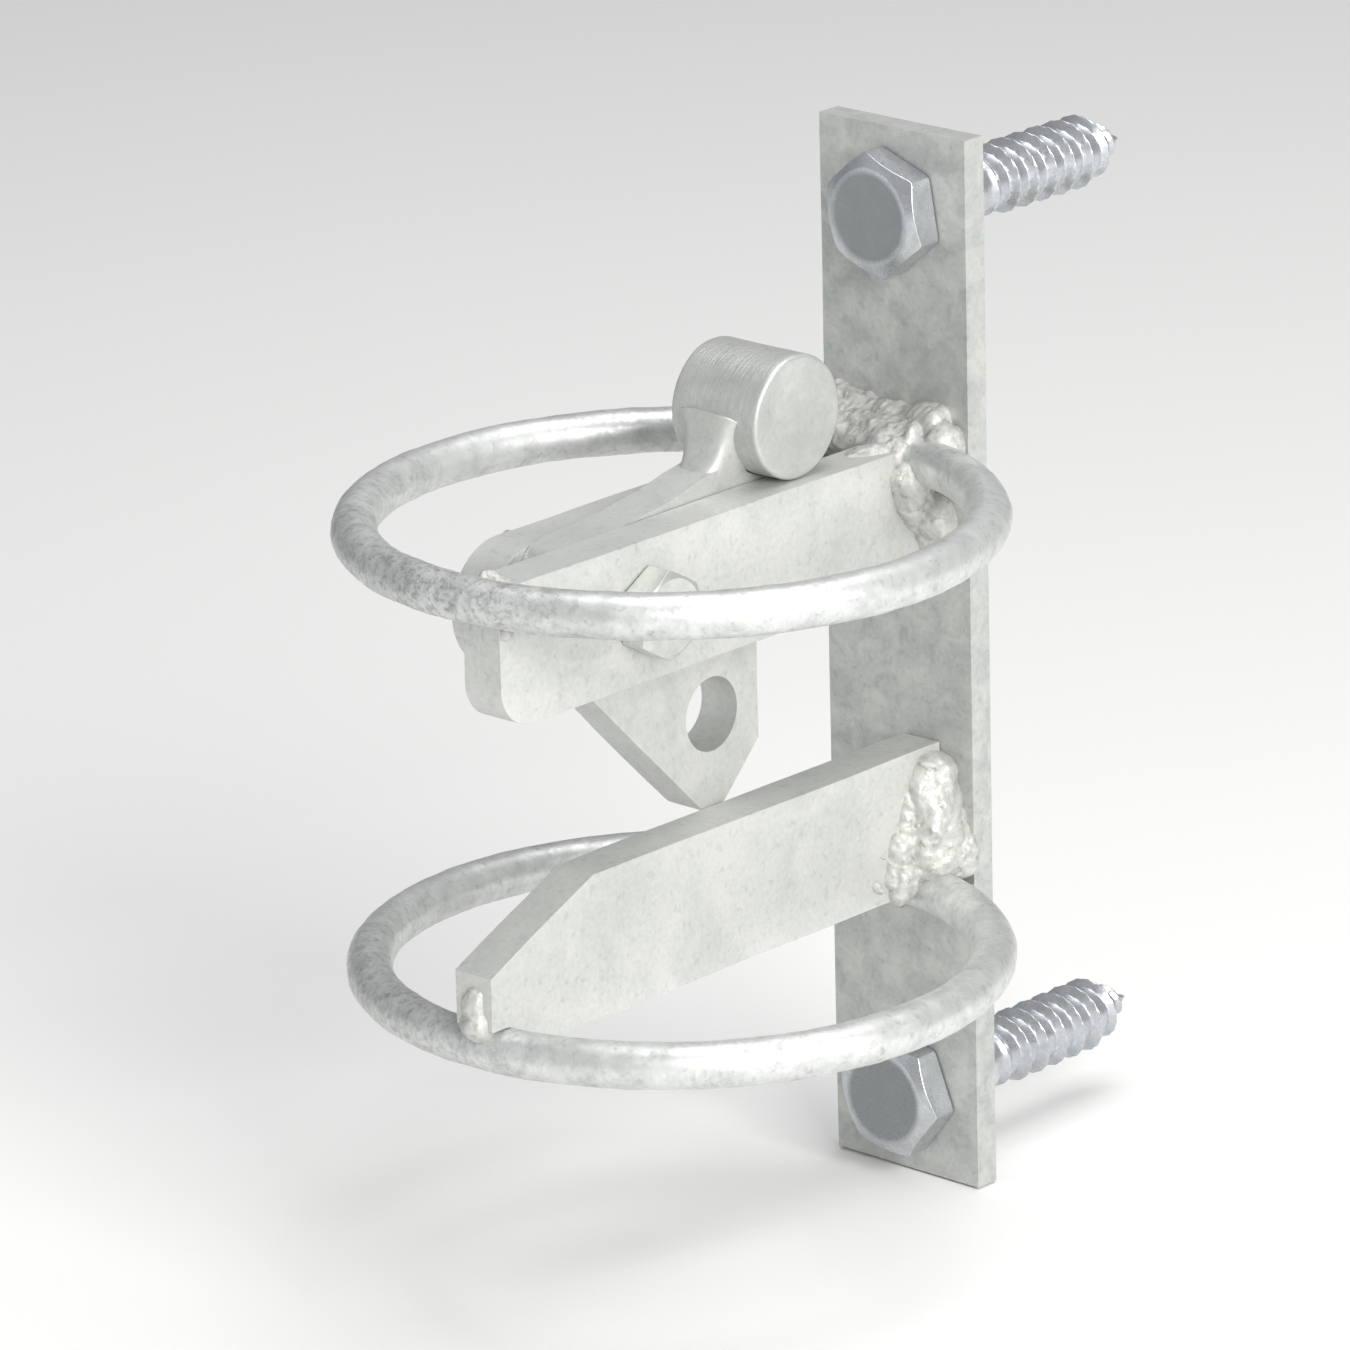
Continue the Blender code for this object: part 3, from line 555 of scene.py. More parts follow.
def zinc_material(name, light, shade, cloud_size, cloud_strength, flecks, roughness, metallic,
                  relief=0.00010, dross=(), lines=None, grain_size=0.0012, crease_shade=0.0):
    """Hot-dip zinc: bloom, dross patches, drawn lines and painted shade in the hollows, their relief as a
    bump.
    """
    material = bpy.data.materials.new(name)
    material.use_nodes = True
    tree = material.node_tree
    shader = tree.nodes["Principled BSDF"]
    shader.inputs["Metallic"].default_value = metallic
    position = add_node(tree, "ShaderNodeTexCoord").outputs["Object"]
    bloom = add_node(tree, "ShaderNodeGroup", node_tree=zinc_bloom_group())
    tree.links.new(position, bloom.inputs["Position"])
    for label, value in (("Light", opaque(light)), ("Shade", opaque(shade)), ("Cloud Size", cloud_size),
                         ("Cloud Strength", cloud_strength), ("Grain Size", grain_size),
                         ("Flecks", flecks), ("Roughness", roughness)):
        bloom.inputs[label].default_value = value
    colour, height = bloom.outputs["Color"], bloom.outputs["Height"]
    for centre, reach, strength in dross:
        patch = add_node(tree, "ShaderNodeGroup", node_tree=dross_patch_group())
        tree.links.new(position, patch.inputs["Position"])
        patch.inputs["Centre"].default_value = centre
        patch.inputs["Reach"].default_value = reach
        patch.inputs["Strength"].default_value = strength
        colour = blend_colour(tree, patch.outputs["Mask"], colour, opaque([c * 0.42 for c in shade]))
        height = plus(tree, height, times(tree, patch.outputs["Mask"], 0.8))
    if lines:
        marks = add_node(tree, "ShaderNodeGroup", node_tree=drawn_lines_group())
        tree.links.new(position, marks.inputs["Position"])
        marks.inputs["Stretch"].default_value = lines
        colour = blend_colour(tree, times(tree, marks.outputs["Mask"], 0.35), colour,
                              opaque(shade))
        height = plus(tree, height, times(tree, marks.outputs["Mask"], 0.4))
    # Painted shade: where Pointiness finds a hollow, the colour is darkened towards the shade colour.
    if crease_shade:
        hollow = add_node(tree, "ShaderNodeNewGeometry").outputs["Pointiness"]
        painted_crease_shade = ramp(tree, hollow, 0.497, 0.455, 0.0, crease_shade)
        colour = blend_colour(tree, painted_crease_shade, colour, opaque(shade))
    bump = add_node(tree, "ShaderNodeBump", {"Strength": 1.0, "Distance": relief}, {"Height": height})
    tree.links.new(colour, shader.inputs["Base Color"])
    tree.links.new(bloom.outputs["Roughness"], shader.inputs["Roughness"])
    tree.links.new(bump.outputs[0], shader.inputs["Normal"])
    return material


def fastener_material(name, finishes):
    """Bright electroplated zinc with a dark blue-grey end on each head."""
    material = zinc_material(name, finishes.fastener, [c * 0.62 for c in finishes.fastener],
                             0.005, 0.5, 0.15, 0.30, 0.85, relief=0.00005, grain_size=0.0008)
    tree = material.node_tree
    shader = tree.nodes["Principled BSDF"]
    plated = shader.inputs["Base Color"].links[0].from_socket
    end = add_node(tree, "ShaderNodeAttribute", attribute_name="head_end").outputs["Fac"]
    dulled = times(tree, end, 0.85)
    tree.links.new(blend_colour(tree, dulled, plated, opaque(finishes.fastener_face)),
                   shader.inputs["Base Color"])
    tree.links.new(ramp(tree, end, 0.0, 1.0, 0.85, 0.40), shader.inputs["Metallic"])
    return material


def nylon_material(name, colour):
    """Moulded nylon with a faint sheen of unevenness."""
    material = bpy.data.materials.new(name)
    material.use_nodes = True
    tree = material.node_tree
    shader = tree.nodes["Principled BSDF"]
    position = add_node(tree, "ShaderNodeTexCoord").outputs["Object"]
    grain = add_node(tree, "ShaderNodeTexNoise", {"Scale": 900.0, "Detail": 3.0}, {"Vector": position})
    tint = blend_colour(tree, grain.outputs[0], opaque(colour), opaque([c * 0.7 for c in colour]))
    tree.links.new(tint, shader.inputs["Base Color"])
    tree.links.new(ramp(tree, grain.outputs[0], 0.3, 0.7, 0.38, 0.52), shader.inputs["Roughness"])
    bump = add_node(tree, "ShaderNodeBump", {"Distance": 0.00003}, {"Height": grain.outputs[0]})
    tree.links.new(bump.outputs[0], shader.inputs["Normal"])
    return material


def finish_named(name):
    """A finish of this latch, made the first time that it is asked for."""
    if name in bpy.data.materials:
        return bpy.data.materials[name]
    finishes = bpy.context.scene.latch_finishes
    zinc, shade = tuple(finishes.zinc), tuple(finishes.zinc_shade)
    rod, rod_shade = tuple(finishes.rod), tuple(finishes.rod_shade)
    weld, weld_cloud_and_crease_shade = tuple(finishes.weld), tuple(finishes.weld_cloud_and_crease_shade)
    if name == "dull zinc plate":
        return zinc_material(name, [c * 0.92 for c in zinc], shade, 0.006, 0.85, 0.40, 0.52, 0.55)
    if name == "dull zinc arm":
        return zinc_material(name, zinc, shade, 0.016, 0.42, 0.35, 0.50, 0.50)
    if name == "dull zinc pawl":
        return zinc_material(name, [c * 0.97 for c in zinc], shade, 0.012, 0.45, 0.30, 0.48, 0.50)
    if name == "zinc rod":
        patches = [((-0.030, RING_FRONT_Y + 0.006, RING_Z["upper_ring"]), 0.070, 0.40),
                   ((0.004, RING_FRONT_Y, RING_Z["upper_ring"]), 0.034, 0.36),
                   ((-0.030, RING_FRONT_Y + 0.006, RING_Z["lower_ring"]), 0.075, 0.38)]
        return zinc_material(name, rod, rod_shade, 0.007, 0.50, 0.30, 0.40, 0.58, dross=patches)
    if name == "zinc weight":
        return zinc_material(name, zinc, shade, 0.010, 0.5, 0.2, 0.42, 0.6,
                             lines=(1500.0, 90.0, 90.0))
    # The weld's hollows between its lumps are darkened with painted shade.
    if name == "weld zinc":
        return zinc_material(name, weld, weld_cloud_and_crease_shade, 0.0030, 0.50, 0.45, 0.50, 0.32, relief=0.00045,
                             grain_size=0.0010, crease_shade=0.9)
    if name == "plated steel":
        return fastener_material(name, finishes)
    if name == "bright head":
        return zinc_material(name, [c * 1.05 for c in zinc], shade, 0.005, 0.35, 0.2, 0.36, 0.7,
                             relief=0.00006, grain_size=0.0009)
    if name == "nylon collar":
        return nylon_material(name, tuple(finishes.nylon))
    raise ValueError(f"there is no finish named {name}")


# ---------------------------------------------------------------- plates
def rear_seat(height, edge, side, line):
    """Outline from the back plate's face round the ring's bar to the bar's own edge.

    `side` is 1 where the ring lies on the upper edge and -1 where it lies on the lower one.
    """
    floor = height - side * SEAT_RADIUS
    curve = arc((line, height), SEAT_RADIUS, -90 * side, -180 * side, 6)
    return [(FACE_Y - SEAT_GAP, floor), *curve.tolist(), (line - SEAT_RADIUS, edge)]


def build_back_plate(sizes):
    """Upright strip with a screw hole near each end: two regions that share its middle line."""
    left, right, low, high = PLATE_LOW.x, PLATE_HIGH.x, PLATE_LOW.z, PLATE_HIGH.z
    spacing = 0.002
    halves = []
    for end in (high, low):
        corners = [(left, 0), (right, 0), (right, end), (left, end)]
        loop = even_loop(corners, spacing)
        halves.append((loop, (0, math.copysign(SCREW_Z, end)), SCREW_HOLE))
    outline = even_loop([(left, low), (right, low), (right, 0), (right, high), (left, high), (left, 0)],
                        spacing)
    grids = plate_grids(outline, halves, PLATE_LOW.y, PLATE_HIGH.y, facing_front)
    grids = warped_inside(grids, sizes.plate_wave * 0.5, 0.05, 11, PLATE_LOW, PLATE_HIGH)
    mesh = make_mesh("mounting plate", grids)
    piece = add_piece("mounting_plate", mesh, finish_named("dull zinc plate"), FRAME_BODY, "back_plate")
    roll_edges(piece, sizes.edge_roll)


def build_arm(name, node, corners, hole, sizes, seed):
    """A flat bar on edge, as wide as its node, with one round hole (centre, radius) or none."""
    low, high = (corner.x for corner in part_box(node))
    outline = even_loop(corners, 0.0016)
    grids = plate_grids(outline, [(outline, *hole)], low, high, upright)
    mesh = make_mesh(name, [warp(grid, sizes.plate_wave, 0.035, seed) for grid in grids])
    piece = add_piece(name, mesh, finish_named("dull zinc arm"), FRAME_BODY, node)
    roll_edges(piece, sizes.arm_roll, 4)


def upper_arm_outline():
    """30 mm flat bar under the upper ring, with a rounded lower front corner."""
    height = RING_Z["upper_ring"]
    drop = math.degrees(math.acos((ARM_LOW.y - RING_FRONT_Y) / SEAT_RADIUS))
    front = arc((RING_FRONT_Y, height), SEAT_RADIUS, 0, -drop, 6)
    corner = arc((ARM_LOW.y + ARM_NOSE, ARM_LOW.z + ARM_NOSE), ARM_NOSE, 180, 270, 12)
    return [(FACE_Y - SEAT_GAP, ARM_LOW.z), *rear_seat(height, ARM_HIGH.z, 1, RING_REAR_Y),
            (front[0][0], ARM_HIGH.z), *front.tolist(), *corner.tolist()]


def side_cheek_outline():
    """The far plate of the fork, with a full-round front end."""
    radius = (CHEEK_HIGH.z - CHEEK_LOW.z) / 2
    end = arc((CHEEK_LOW.y + radius, CHEEK_LOW.z + radius), radius, 90, 270, 24)
    reach = max(abs(CHEEK_LOW.x), abs(CHEEK_HIGH.x))
    line = RING_Y + math.sqrt(RING_RADIUS ** 2 - (reach - 0.004) ** 2)
    return [(FACE_Y - SEAT_GAP, CHEEK_LOW.z),
            *rear_seat(RING_Z["upper_ring"], CHEEK_HIGH.z, 1, line), *end.tolist()]


def lower_arm_outline():
    """Flat bar on the lower ring, with a straight slope on its upper front corner."""
    height = RING_Z["lower_ring"]
    front = arc((RING_FRONT_Y, height), SEAT_RADIUS, 0, 90, 6)
    rear = rear_seat(height, STOP_LOW.z, -1, RING_REAR_Y)
    return [(FACE_Y - SEAT_GAP, STOP_HIGH.z), *rear, (front[0][0], STOP_LOW.z), *front.tolist(),
            (STOP_LOW.y, height + SEAT_RADIUS), (STOP_LOW.y, STOP_FRONT_TOP),
            (STOP_LOW.y + STOP_SLOPE, STOP_HIGH.z)]


# ---------------------------------------------------------------- pawl
def pawl_regions():
    """Outline of the pawl and its two regions, one round the pivot and one round the padlock hole."""
    spacing = 0.0014
    ramp_end = np.array((-0.0702, -0.0169))
    start = arc((PIVOT_Y, PIVOT_Z), PAWL_BOSS, 226, 135, 18)
    crown = [(-0.1040, 0.0492), (-0.0880, 0.0502), (-0.0760, 0.0518), (-0.0680, 0.0538)]
    under_weight = arc((WEIGHT_Y, WEIGHT_Z), WEIGHT_RADIUS + SEAT_GAP, 215, 262, 8)
    joint_rear = np.array((LOCK_EDGE, 0.020))
    joint_front = start[0] + (ramp_end - start[0]) * 0.42
    upper = [*start.tolist(), *crown, *under_weight.tolist(), (-0.0494, 0.0450), (LOCK_EDGE, 0.0400),
             tuple(joint_rear)]
    tip = arc((-0.0662, -0.0130), 0.0053, -42, -137, 8)
    lower = [(LOCK_EDGE, -0.0058), *tip.tolist()]
    border = joint_rear + (joint_front - joint_rear) * np.linspace(0, 1, 30)[:, None]
    upper_edge = even_loop([*upper, tuple(joint_front)], spacing)
    turn = int(np.argmin(np.linalg.norm(upper_edge - joint_rear, axis=1)))
    back = int(np.argmin(np.linalg.norm(upper_edge - joint_front, axis=1)))
    upper_loop = np.vstack([upper_edge[:turn], border, upper_edge[back + 1:]])
    lower_edge = even_loop([tuple(joint_rear), *lower, tuple(joint_front)], spacing)
    back_low = int(np.argmin(np.linalg.norm(lower_edge - joint_front, axis=1)))
    lower_loop = np.vstack([lower_edge[:back_low], border[::-1][:-1]])
    outline = np.vstack([upper_edge[:turn], lower_edge[:back_low], upper_edge[back:]])
    return outline, [(upper_loop, (PIVOT_Y, PIVOT_Z), PIVOT_HOLE),
                     (lower_loop, PADLOCK_CENTRE, PADLOCK_HOLE)]


def build_pawl_plate(sizes):
    """Boss round the pivot, tooth with a ramp and an upright edge, padlock hole."""
    outline, regions = pawl_regions()
    grids = plate_grids(outline, regions, PAWL_LOW.x, PAWL_HIGH.x, upright)
    mesh = make_mesh("catch pawl", [warp(grid, sizes.plate_wave * 0.6, 0.03, 31) for grid in grids])
    piece = add_piece("catch_pawl", mesh, finish_named("dull zinc pawl"), PAWL_BODY, "pawl_plate")
    roll_edges(piece, sizes.edge_roll)


def build_weight(sizes):
    """Sawn length of round bar, its ends flat with a small rolled edge."""
    angle = np.linspace(0, 2 * np.pi, 120, endpoint=False)
    roll = 0.0009
    low, high = WEIGHT_LOW.x, WEIGHT_HIGH.x
    rim = edge_profile(WEIGHT_RADIUS, 0, low, high, roll, 5)
    left = [(low, part * (WEIGHT_RADIUS - roll)) for part in np.linspace(0, 1, 10)[:-1]]
    body = [(x, WEIGHT_RADIUS) for x in np.linspace(low + roll, high - roll, 18)[1:-1]]
    right = [(high, part * (WEIGHT_RADIUS - roll)) for part in np.linspace(1, 0, 10)[1:]]
    sections = left + rim[1:7] + body + rim[7:13] + right

    def place(height, radius, turn):
        return np.stack([height, WEIGHT_Y + radius * np.cos(turn), WEIGHT_Z + radius * np.sin(turn)], -1)
    grid = turned_grid(sections, angle, place)
    mesh = make_mesh("counterweight", [warp(grid, sizes.zinc_wave * 0.5, 0.012, 41)])
    add_piece("counterweight", mesh, finish_named("zinc weight"), PAWL_BODY, "pawl_weight")


def build_neck(sizes):
    """Saddle of weld between the pawl's upper edge and the weight.

    A rounded rectangle that rises from inside the plate to inside the weight, its half widths
    growing with a power of the height so that it flares into the round bar.
    """
    rise = np.linspace(0, 1, 60)[:, None]
    turn = np.linspace(0, 2 * np.pi, 96, endpoint=False)[None, :]
    middle = (PAWL_LOW.x + PAWL_HIGH.x) / 2
    foot = np.array((middle, -0.0618, 0.0490))
    top = np.array((middle, -0.0535, 0.0612))
    half_width = 0.0049 + 0.0030 * rise ** 2.5
    half_depth = 0.0068 - 0.0010 * np.sin(np.pi * rise) + 0.0040 * rise ** 2.5
    squareness = 0.45
    across = np.sign(np.cos(turn)) * np.abs(np.cos(turn)) ** squareness * half_width
    along = np.sign(np.sin(turn)) * np.abs(np.sin(turn)) ** squareness * half_depth
    centre = foot + (top - foot) * rise[..., None]
    shape = centre + np.stack([across, along * 0.75, -along * 0.50], -1)
    ends = [np.broadcast_to(row.mean(1, keepdims=True), row.shape) for row in (shape[:1], shape[-1:])]
    smooth = warp(shape, sizes.weld_lumps * 0.25, 0.006, 51)
    mesh = make_mesh("weight neck", [np.concatenate([ends[0], smooth, ends[1]])])
    add_piece("weight_neck", mesh, finish_named("dull zinc pawl"), PAWL_BODY, "weight_weld")


# ---------------------------------------------------------------- fasteners
def head_mask(sections, across_flats, height, face_share):
    """1 on the flat end of a head and 0 everywhere else, for each section."""
    face = across_flats * face_share
    return [1.0 if np.max(r) <= face * 0.985 and np.max(h) < -height * 0.9 else 0.0 for h, r in sections]


def build_coach_screw(name, node, height, roll, sizes):
    """Hexagon head, plain shank, and a wood thread that climbs one pitch a turn to a gimlet point."""
    columns = 96
    angle = np.linspace(0, 2 * np.pi, columns, endpoint=False)
    length = SCREW_HIGH.y - (FACE_Y - SEAT_GAP)
    sections = head_sections(angle, SCREW_FLATS, SCREW_HEAD, SCREW_FACE)
    mask = head_mask(sections, SCREW_FLATS, SCREW_HEAD, SCREW_FACE)
    sections += [(0, SCREW_RADIUS + 0.0008), (0.0006, SCREW_RADIUS)]
    sections += [(h, SCREW_RADIUS) for h in np.linspace(0.002, SCREW_PLAIN - 0.002, 10)]
    steps = np.linspace(SCREW_PLAIN - 0.001, length, 150)
    taper = np.clip((length - steps) / (2.2 * sizes.screw_pitch), 0, 1)[:, None]
    fade = np.clip((steps - SCREW_PLAIN) / sizes.screw_pitch, 0, 1)[:, None]
    phase = np.mod(steps[:, None] / sizes.screw_pitch - angle[None] / (2 * np.pi), 1)
    ridge = np.clip(1 - np.abs(phase - 0.5) / 0.24, 0, 1)
    height_left = np.clip(taper * 1.6, 0, 1)
    radius = SCREW_ROOT * taper + (SCREW_RADIUS - SCREW_ROOT) * ridge * fade * height_left
    sections += list(zip(steps, radius))
    mask += [0.0] * (len(sections) - len(mask))

    def place(along, reach, turn):
        return np.stack([reach * np.cos(turn + math.radians(roll)), FACE_Y - SEAT_GAP + along,
                         height - reach * np.sin(turn + math.radians(roll))], -1)
    grid = turned_grid(sections, angle, place)
    mesh = make_mesh(name, [grid], mask=np.repeat(mask, columns))
    piece = add_piece(name, mesh, finish_named("plated steel"), FRAME_BODY, node)
    roll_edges(piece, 0.00035, 2, 34)


def place_on_pivot(start):
    """Heights run to the left, towards -X, from `start` along the pivot's axis."""
    def place(along, reach, turn):
        return np.stack([start - along, PIVOT_Y + reach * np.sin(turn),
                         PIVOT_Z + reach * np.cos(turn)], -1)
    return place


def build_pivot_bolt(sizes):
    """Hexagon bolt through the fork and the pawl, threaded at its nut end."""
    columns = 72
    angle = np.linspace(0, 2 * np.pi, columns, endpoint=False)
    bearing = BOLT_HIGH.x - BOLT_HEAD
    length = bearing - BOLT_LOW.x
    threaded = bearing - WASHER_LOW.x - 0.001
    sections = head_sections(angle, BOLT_FLATS, BOLT_HEAD, BOLT_FACE)
    sections += [(h, BOLT_RADIUS) for h in np.linspace(0, threaded, 12)]
    steps = np.linspace(threaded, length - 0.0006, 90)
    phase = np.mod(steps[:, None] / sizes.bolt_pitch - angle[None] / (2 * np.pi), 1)
    depth = 0.0008 * np.clip((steps - threaded) / sizes.bolt_pitch, 0, 1)[:, None]
    sections += list(zip(steps, BOLT_RADIUS - depth * np.abs(2 * phase - 1)))
    sections += [(length, BOLT_RADIUS - 0.0011), (length, 0.002), (length, 0)]
    grid = turned_grid(sections, angle, place_on_pivot(bearing))
    mesh = make_mesh("pivot hex bolt", [grid], mask=np.zeros(grid.shape[:2]))
    piece = add_piece("pivot_hex_bolt", mesh, finish_named("bright head"), FRAME_BODY, "pivot_bolt")
    roll_edges(piece, 0.0003, 2, 34)


def build_washer_and_nut():
    """Flat washer, and a nut with a domed collar that grips a nylon ring."""
    angle = np.linspace(0, 2 * np.pi, 96, endpoint=False)
    thickness = WASHER_HIGH.x - WASHER_LOW.x
    radius = (WASHER_HIGH.y - WASHER_LOW.y) / 2
    washer = turned_grid(edge_profile(radius, PIVOT_HOLE, 0, thickness, 0.0004), angle,
                         place_on_pivot(WASHER_HIGH.x))
    mesh = make_mesh("pivot flat washer", [washer], closed=True)
    piece = add_piece("pivot_flat_washer", mesh, finish_named("bright head"), FRAME_BODY,
                      "pivot_washer")
    roll_edges(piece, 0.0002, 2, 60)

    side = hex_reach(angle, BOLT_FLATS)
    bearing = BOLT_FLATS * BOLT_FACE
    height = NUT_HIGH.x - NUT_LOW.x
    shoulder, collar, pocket = 0.0066, BOLT_FLATS * 0.45, 0.0069
    slope = 0.5
    sections = [(0, PIVOT_HOLE), (0, bearing)]
    sections += [((side - bearing) * part * slope, bearing + (side - bearing) * part)
                 for part in (0.33, 0.66, 1)]
    top = shoulder - (side - collar) * 0.35
    rim = (side - bearing) * slope
    sections += [(rim * (1 - part) + top * part, side) for part in np.linspace(0.2, 1, 5)]
    sections += [(shoulder, collar)]
    dome = np.linspace(0, np.pi / 2, 7)[1:]
    sections += [(shoulder + (height - shoulder) * math.sin(t), pocket - 0.0008
                  + (collar - pocket + 0.0008) * math.cos(t)) for t in dome]
    sections += [(height - 0.0008, pocket), (shoulder, pocket), (shoulder, PIVOT_HOLE)]
    nut = turned_grid(sections, angle, place_on_pivot(NUT_HIGH.x))
    mesh = make_mesh("nylon insert nut", [nut], closed=True)
    piece = add_piece("nylon_insert_nut", mesh, finish_named("bright head"), FRAME_BODY,
                      "pivot_lock_nut")
    roll_edges(piece, 0.0002, 2, 34)

    outer = (COLLAR_HIGH.y - COLLAR_LOW.y) / 2
    ring = turned_grid(edge_profile(outer, PIVOT_HOLE, 0, COLLAR_HIGH.x - COLLAR_LOW.x, 0.0003), angle,
                       place_on_pivot(COLLAR_HIGH.x))
    mesh = make_mesh("nylon collar", [ring], closed=True)
    add_piece("nylon_collar", mesh, finish_named("nylon collar"), FRAME_BODY, "lock_nut_insert")


# ---------------------------------------------------------------- welds
def weld_lines():
    """Every weld: its name, CAD node, outward direction, anchor, and its beads.

    A bead is a few points that its centre runs through, each (x, y, z, radius) in millimetres from
    the weld's anchor. A short bead is spatter.
    """
    ring, low_ring, stop = RING_Z["upper_ring"], RING_Z["lower_ring"], STOP_HIGH.z
    return [
        ("upper_ring_bead", "upper_ring_weld", (0, -0.6, 1), (0, FACE_Y, ring), [
            [(-18.0, -0.8, 7.2, 4.2), (-11.0, -1.2, 6.2, 4.2), (-4.0, -1.4, 5.0, 4.2),
             (3.0, -1.4, 4.6, 4.4), (10.0, -1.2, 5.6, 4.8), (15.8, -1.0, 6.0, 4.6)],
            [(-17.0, -5.2, 3.8, 4.0), (-6.0, -5.2, 2.8, 4.2), (4.0, -5.6, 2.8, 4.6),
             (12.6, -5.4, 3.0, 4.6)],
            [(-13.0, -7.8, 1.8, 3.6), (0, -9.0, 1.4, 4.0), (8.0, -9.2, 1.4, 4.2),
             (11.2, -8.4, 0.8, 3.8)],
            [(5.8, -8.0, 0.6, 5.2), (5.6, -15.0, -1.0, 4.8), (5.0, -21.0, -1.6, 4.3),
             (4.6, -26.2, -1.4, 3.4)],
            [(13.0, -3.0, 4.6, 4.6), (16.4, -3.0, 2.6, 4.2), (18.0, -3.2, -1.6, 3.2)],
            [(-6.6, -0.8, 8.0, 2.0), (-5.6, -0.8, 9.6, 1.4)],
            [(2.0, -0.8, 7.6, 2.0), (2.6, -0.8, 9.4, 1.4)]]),
        ("upper_arm_bead", "upper_arm_weld", (1, -0.7, 0), (ARM_HIGH.x, FACE_Y, ring), [
            [(-0.8, -11.6, 0, 3.6), (0.6, -9.8, -4.0, 4.6), (0.2, -8.0, -9.2, 4.4),
             (0, -4.0, -15.0, 3.4), (0, -2.4, -22.0, 2.6)],
            [(-0.2, -5.2, -13.0, 4.4), (3.4, -3.6, -13.0, 5.0), (6.4, -2.4, -11.8, 4.4)]]),
        ("side_cheek_bead", "side_cheek_weld", (-1, -0.7, 0), (CHEEK_LOW.x, FACE_Y, ring), [
            [(-0.2, -1.4, -8.0, 3.4), (-0.4, -1.6, -16.0, 3.4), (0, -1.4, -26.2, 3.0)]]),
        ("lower_arm_right_bead", "lower_arm_right_weld", (1, -0.7, 0), (ARM_HIGH.x, FACE_Y, stop), [
            [(-0.6, -3.0, -1.2, 4.6), (0, -3.8, -7.2, 6.0), (0.4, -4.6, -15.2, 7.4),
             (0.6, -5.2, -22.7, 8.2), (0.6, -5.4, -28.7, 7.8)],
            [(-2.2, -7.4, -8.2, 3.8), (-1.8, -10.6, -16.2, 4.6), (-1.6, -13.6, -23.2, 4.6),
             (-2.0, -16.0, -29.4, 3.6)],
            [(2.4, -1.2, -13.2, 4.0), (5.0, -1.4, -21.2, 4.4), (7.6, -1.0, -28.6, 3.4)],
            [(0.2, -11.2, -23.2, 4.6), (0.2, -13.2, -28.4, 4.0), (-0.4, -15.0, -32.8, 2.4)],
            [(7.4, -1.0, -30.6, 2.4), (8.0, -1.0, -31.4, 2.2)],
            [(-0.4, -20.0, -26.2, 2.0), (-0.4, -21.6, -28.0, 1.8)],
            [(-0.4, -18.6, -20.4, 1.5), (-0.4, -19.0, -21.2, 1.4)]]),
        ("lower_arm_left_bead", "lower_arm_left_weld", (-1, -0.7, 0), (ARM_LOW.x, FACE_Y, stop), [
            [(-0.2, -1.4, -2.6, 3.6), (-0.6, -1.8, -13.2, 3.8), (0, -1.4, -23.6, 3.2)]]),
        ("lower_ring_bead", "lower_ring_weld", (0, -0.6, -1), (0, FACE_Y, low_ring), [
            [(-11.8, -2.0, -4.4, 2.8), (0, -2.2, -4.6, 3.0), (11.8, -2.0, -4.4, 2.8)]]),
        ("upper_front_bead", "upper_front_weld", (0, 0.5, 1), (ARM_LOW.x, RING_FRONT_Y, ring), [
            [(3.0, 4.2, 2.2, 2.3), (6.0, 5.0, 2.4, 2.6), (9.4, 4.6, 2.0, 2.2)],
            [(9.8, 3.4, -4.6, 1.8), (9.6, 4.2, -8.0, 1.8)]]),
        ("lower_front_bead", "lower_front_weld", (0, -1, 0.4), (ARM_LOW.x, STOP_LOW.y, low_ring), [
            [(1.6, 1.4, 5.2, 3.0), (5.0, 1.0, 6.0, 3.4), (8.6, 1.4, 5.4, 3.0)],
            [(4.8, 1.4, 5.0, 2.8), (5.0, 1.0, 10.0, 2.8), (5.2, 1.6, 14.0, 2.2)]]),
    ]


# ---------------------------------------------------------------- studio
def build_floor():
    """A wide thin disc under the plate's lower end: its radius by the turn."""
    turn = np.linspace(0, 2 * np.pi, 128, endpoint=False)
    top = PLATE_LOW.z - 0.0005
    sections = [(top, r) for r in (0, 0.3, 1.0, 3.0, 8.0)] + [(top - 0.01, r) for r in (8.0, 0)]

    def place(height, radius, angle):
        return np.stack([radius * np.cos(angle), radius * np.sin(angle), height], -1)
    mesh = make_mesh("floor", [turned_grid(sections, turn, place)])
    material = bpy.data.materials.new("floor paint")
    material.use_nodes = True
    shader = material.node_tree.nodes["Principled BSDF"]
    shader.inputs["Base Color"].default_value = opaque(bpy.context.scene.latch_finishes.floor)
    shader.inputs["Roughness"].default_value = 0.9
    mesh.materials.append(material)
    floor = bpy.data.objects.new("floor", mesh)
    bpy.context.scene.collection.objects.link(floor)


def add_light(name, place, target, width, power, colour):
    """A square soft light that faces its target."""
    data = bpy.data.lights.new(name, "AREA")
    data.size = width
    data.energy = power
    data.color = colour
    light = bpy.data.objects.new(name, data)
    light.location = place
    light.rotation_euler = (Vector(target) - Vector(place)).to_track_quat("-Z", "Y").to_euler()
    bpy.context.scene.collection.objects.link(light)


def build_lights():
    """A large key from the right, a weak fill from the left front, a soft one from above."""
    target = (0, RING_Y, 0)
    add_light("key", (1.5, -0.55, 0.75), target, 1.0, 34, (1.0, 0.99, 0.97))
    add_light("fill", (-0.9, -1.6, 0.5), target, 1.2, 3, (0.95, 0.98, 1.0))
    add_light("top", (0.1, 0.2, 1.8), target, 1.4, 20, (1.0, 1.0, 1.0))
    world = bpy.data.worlds.new("studio")
    world.use_nodes = True
    world.node_tree.nodes["Background"].inputs["Color"].default_value = (0.93, 0.95, 0.96, 1)
    world.node_tree.nodes["Background"].inputs["Strength"].default_value = 0.32
    bpy.context.scene.world = world


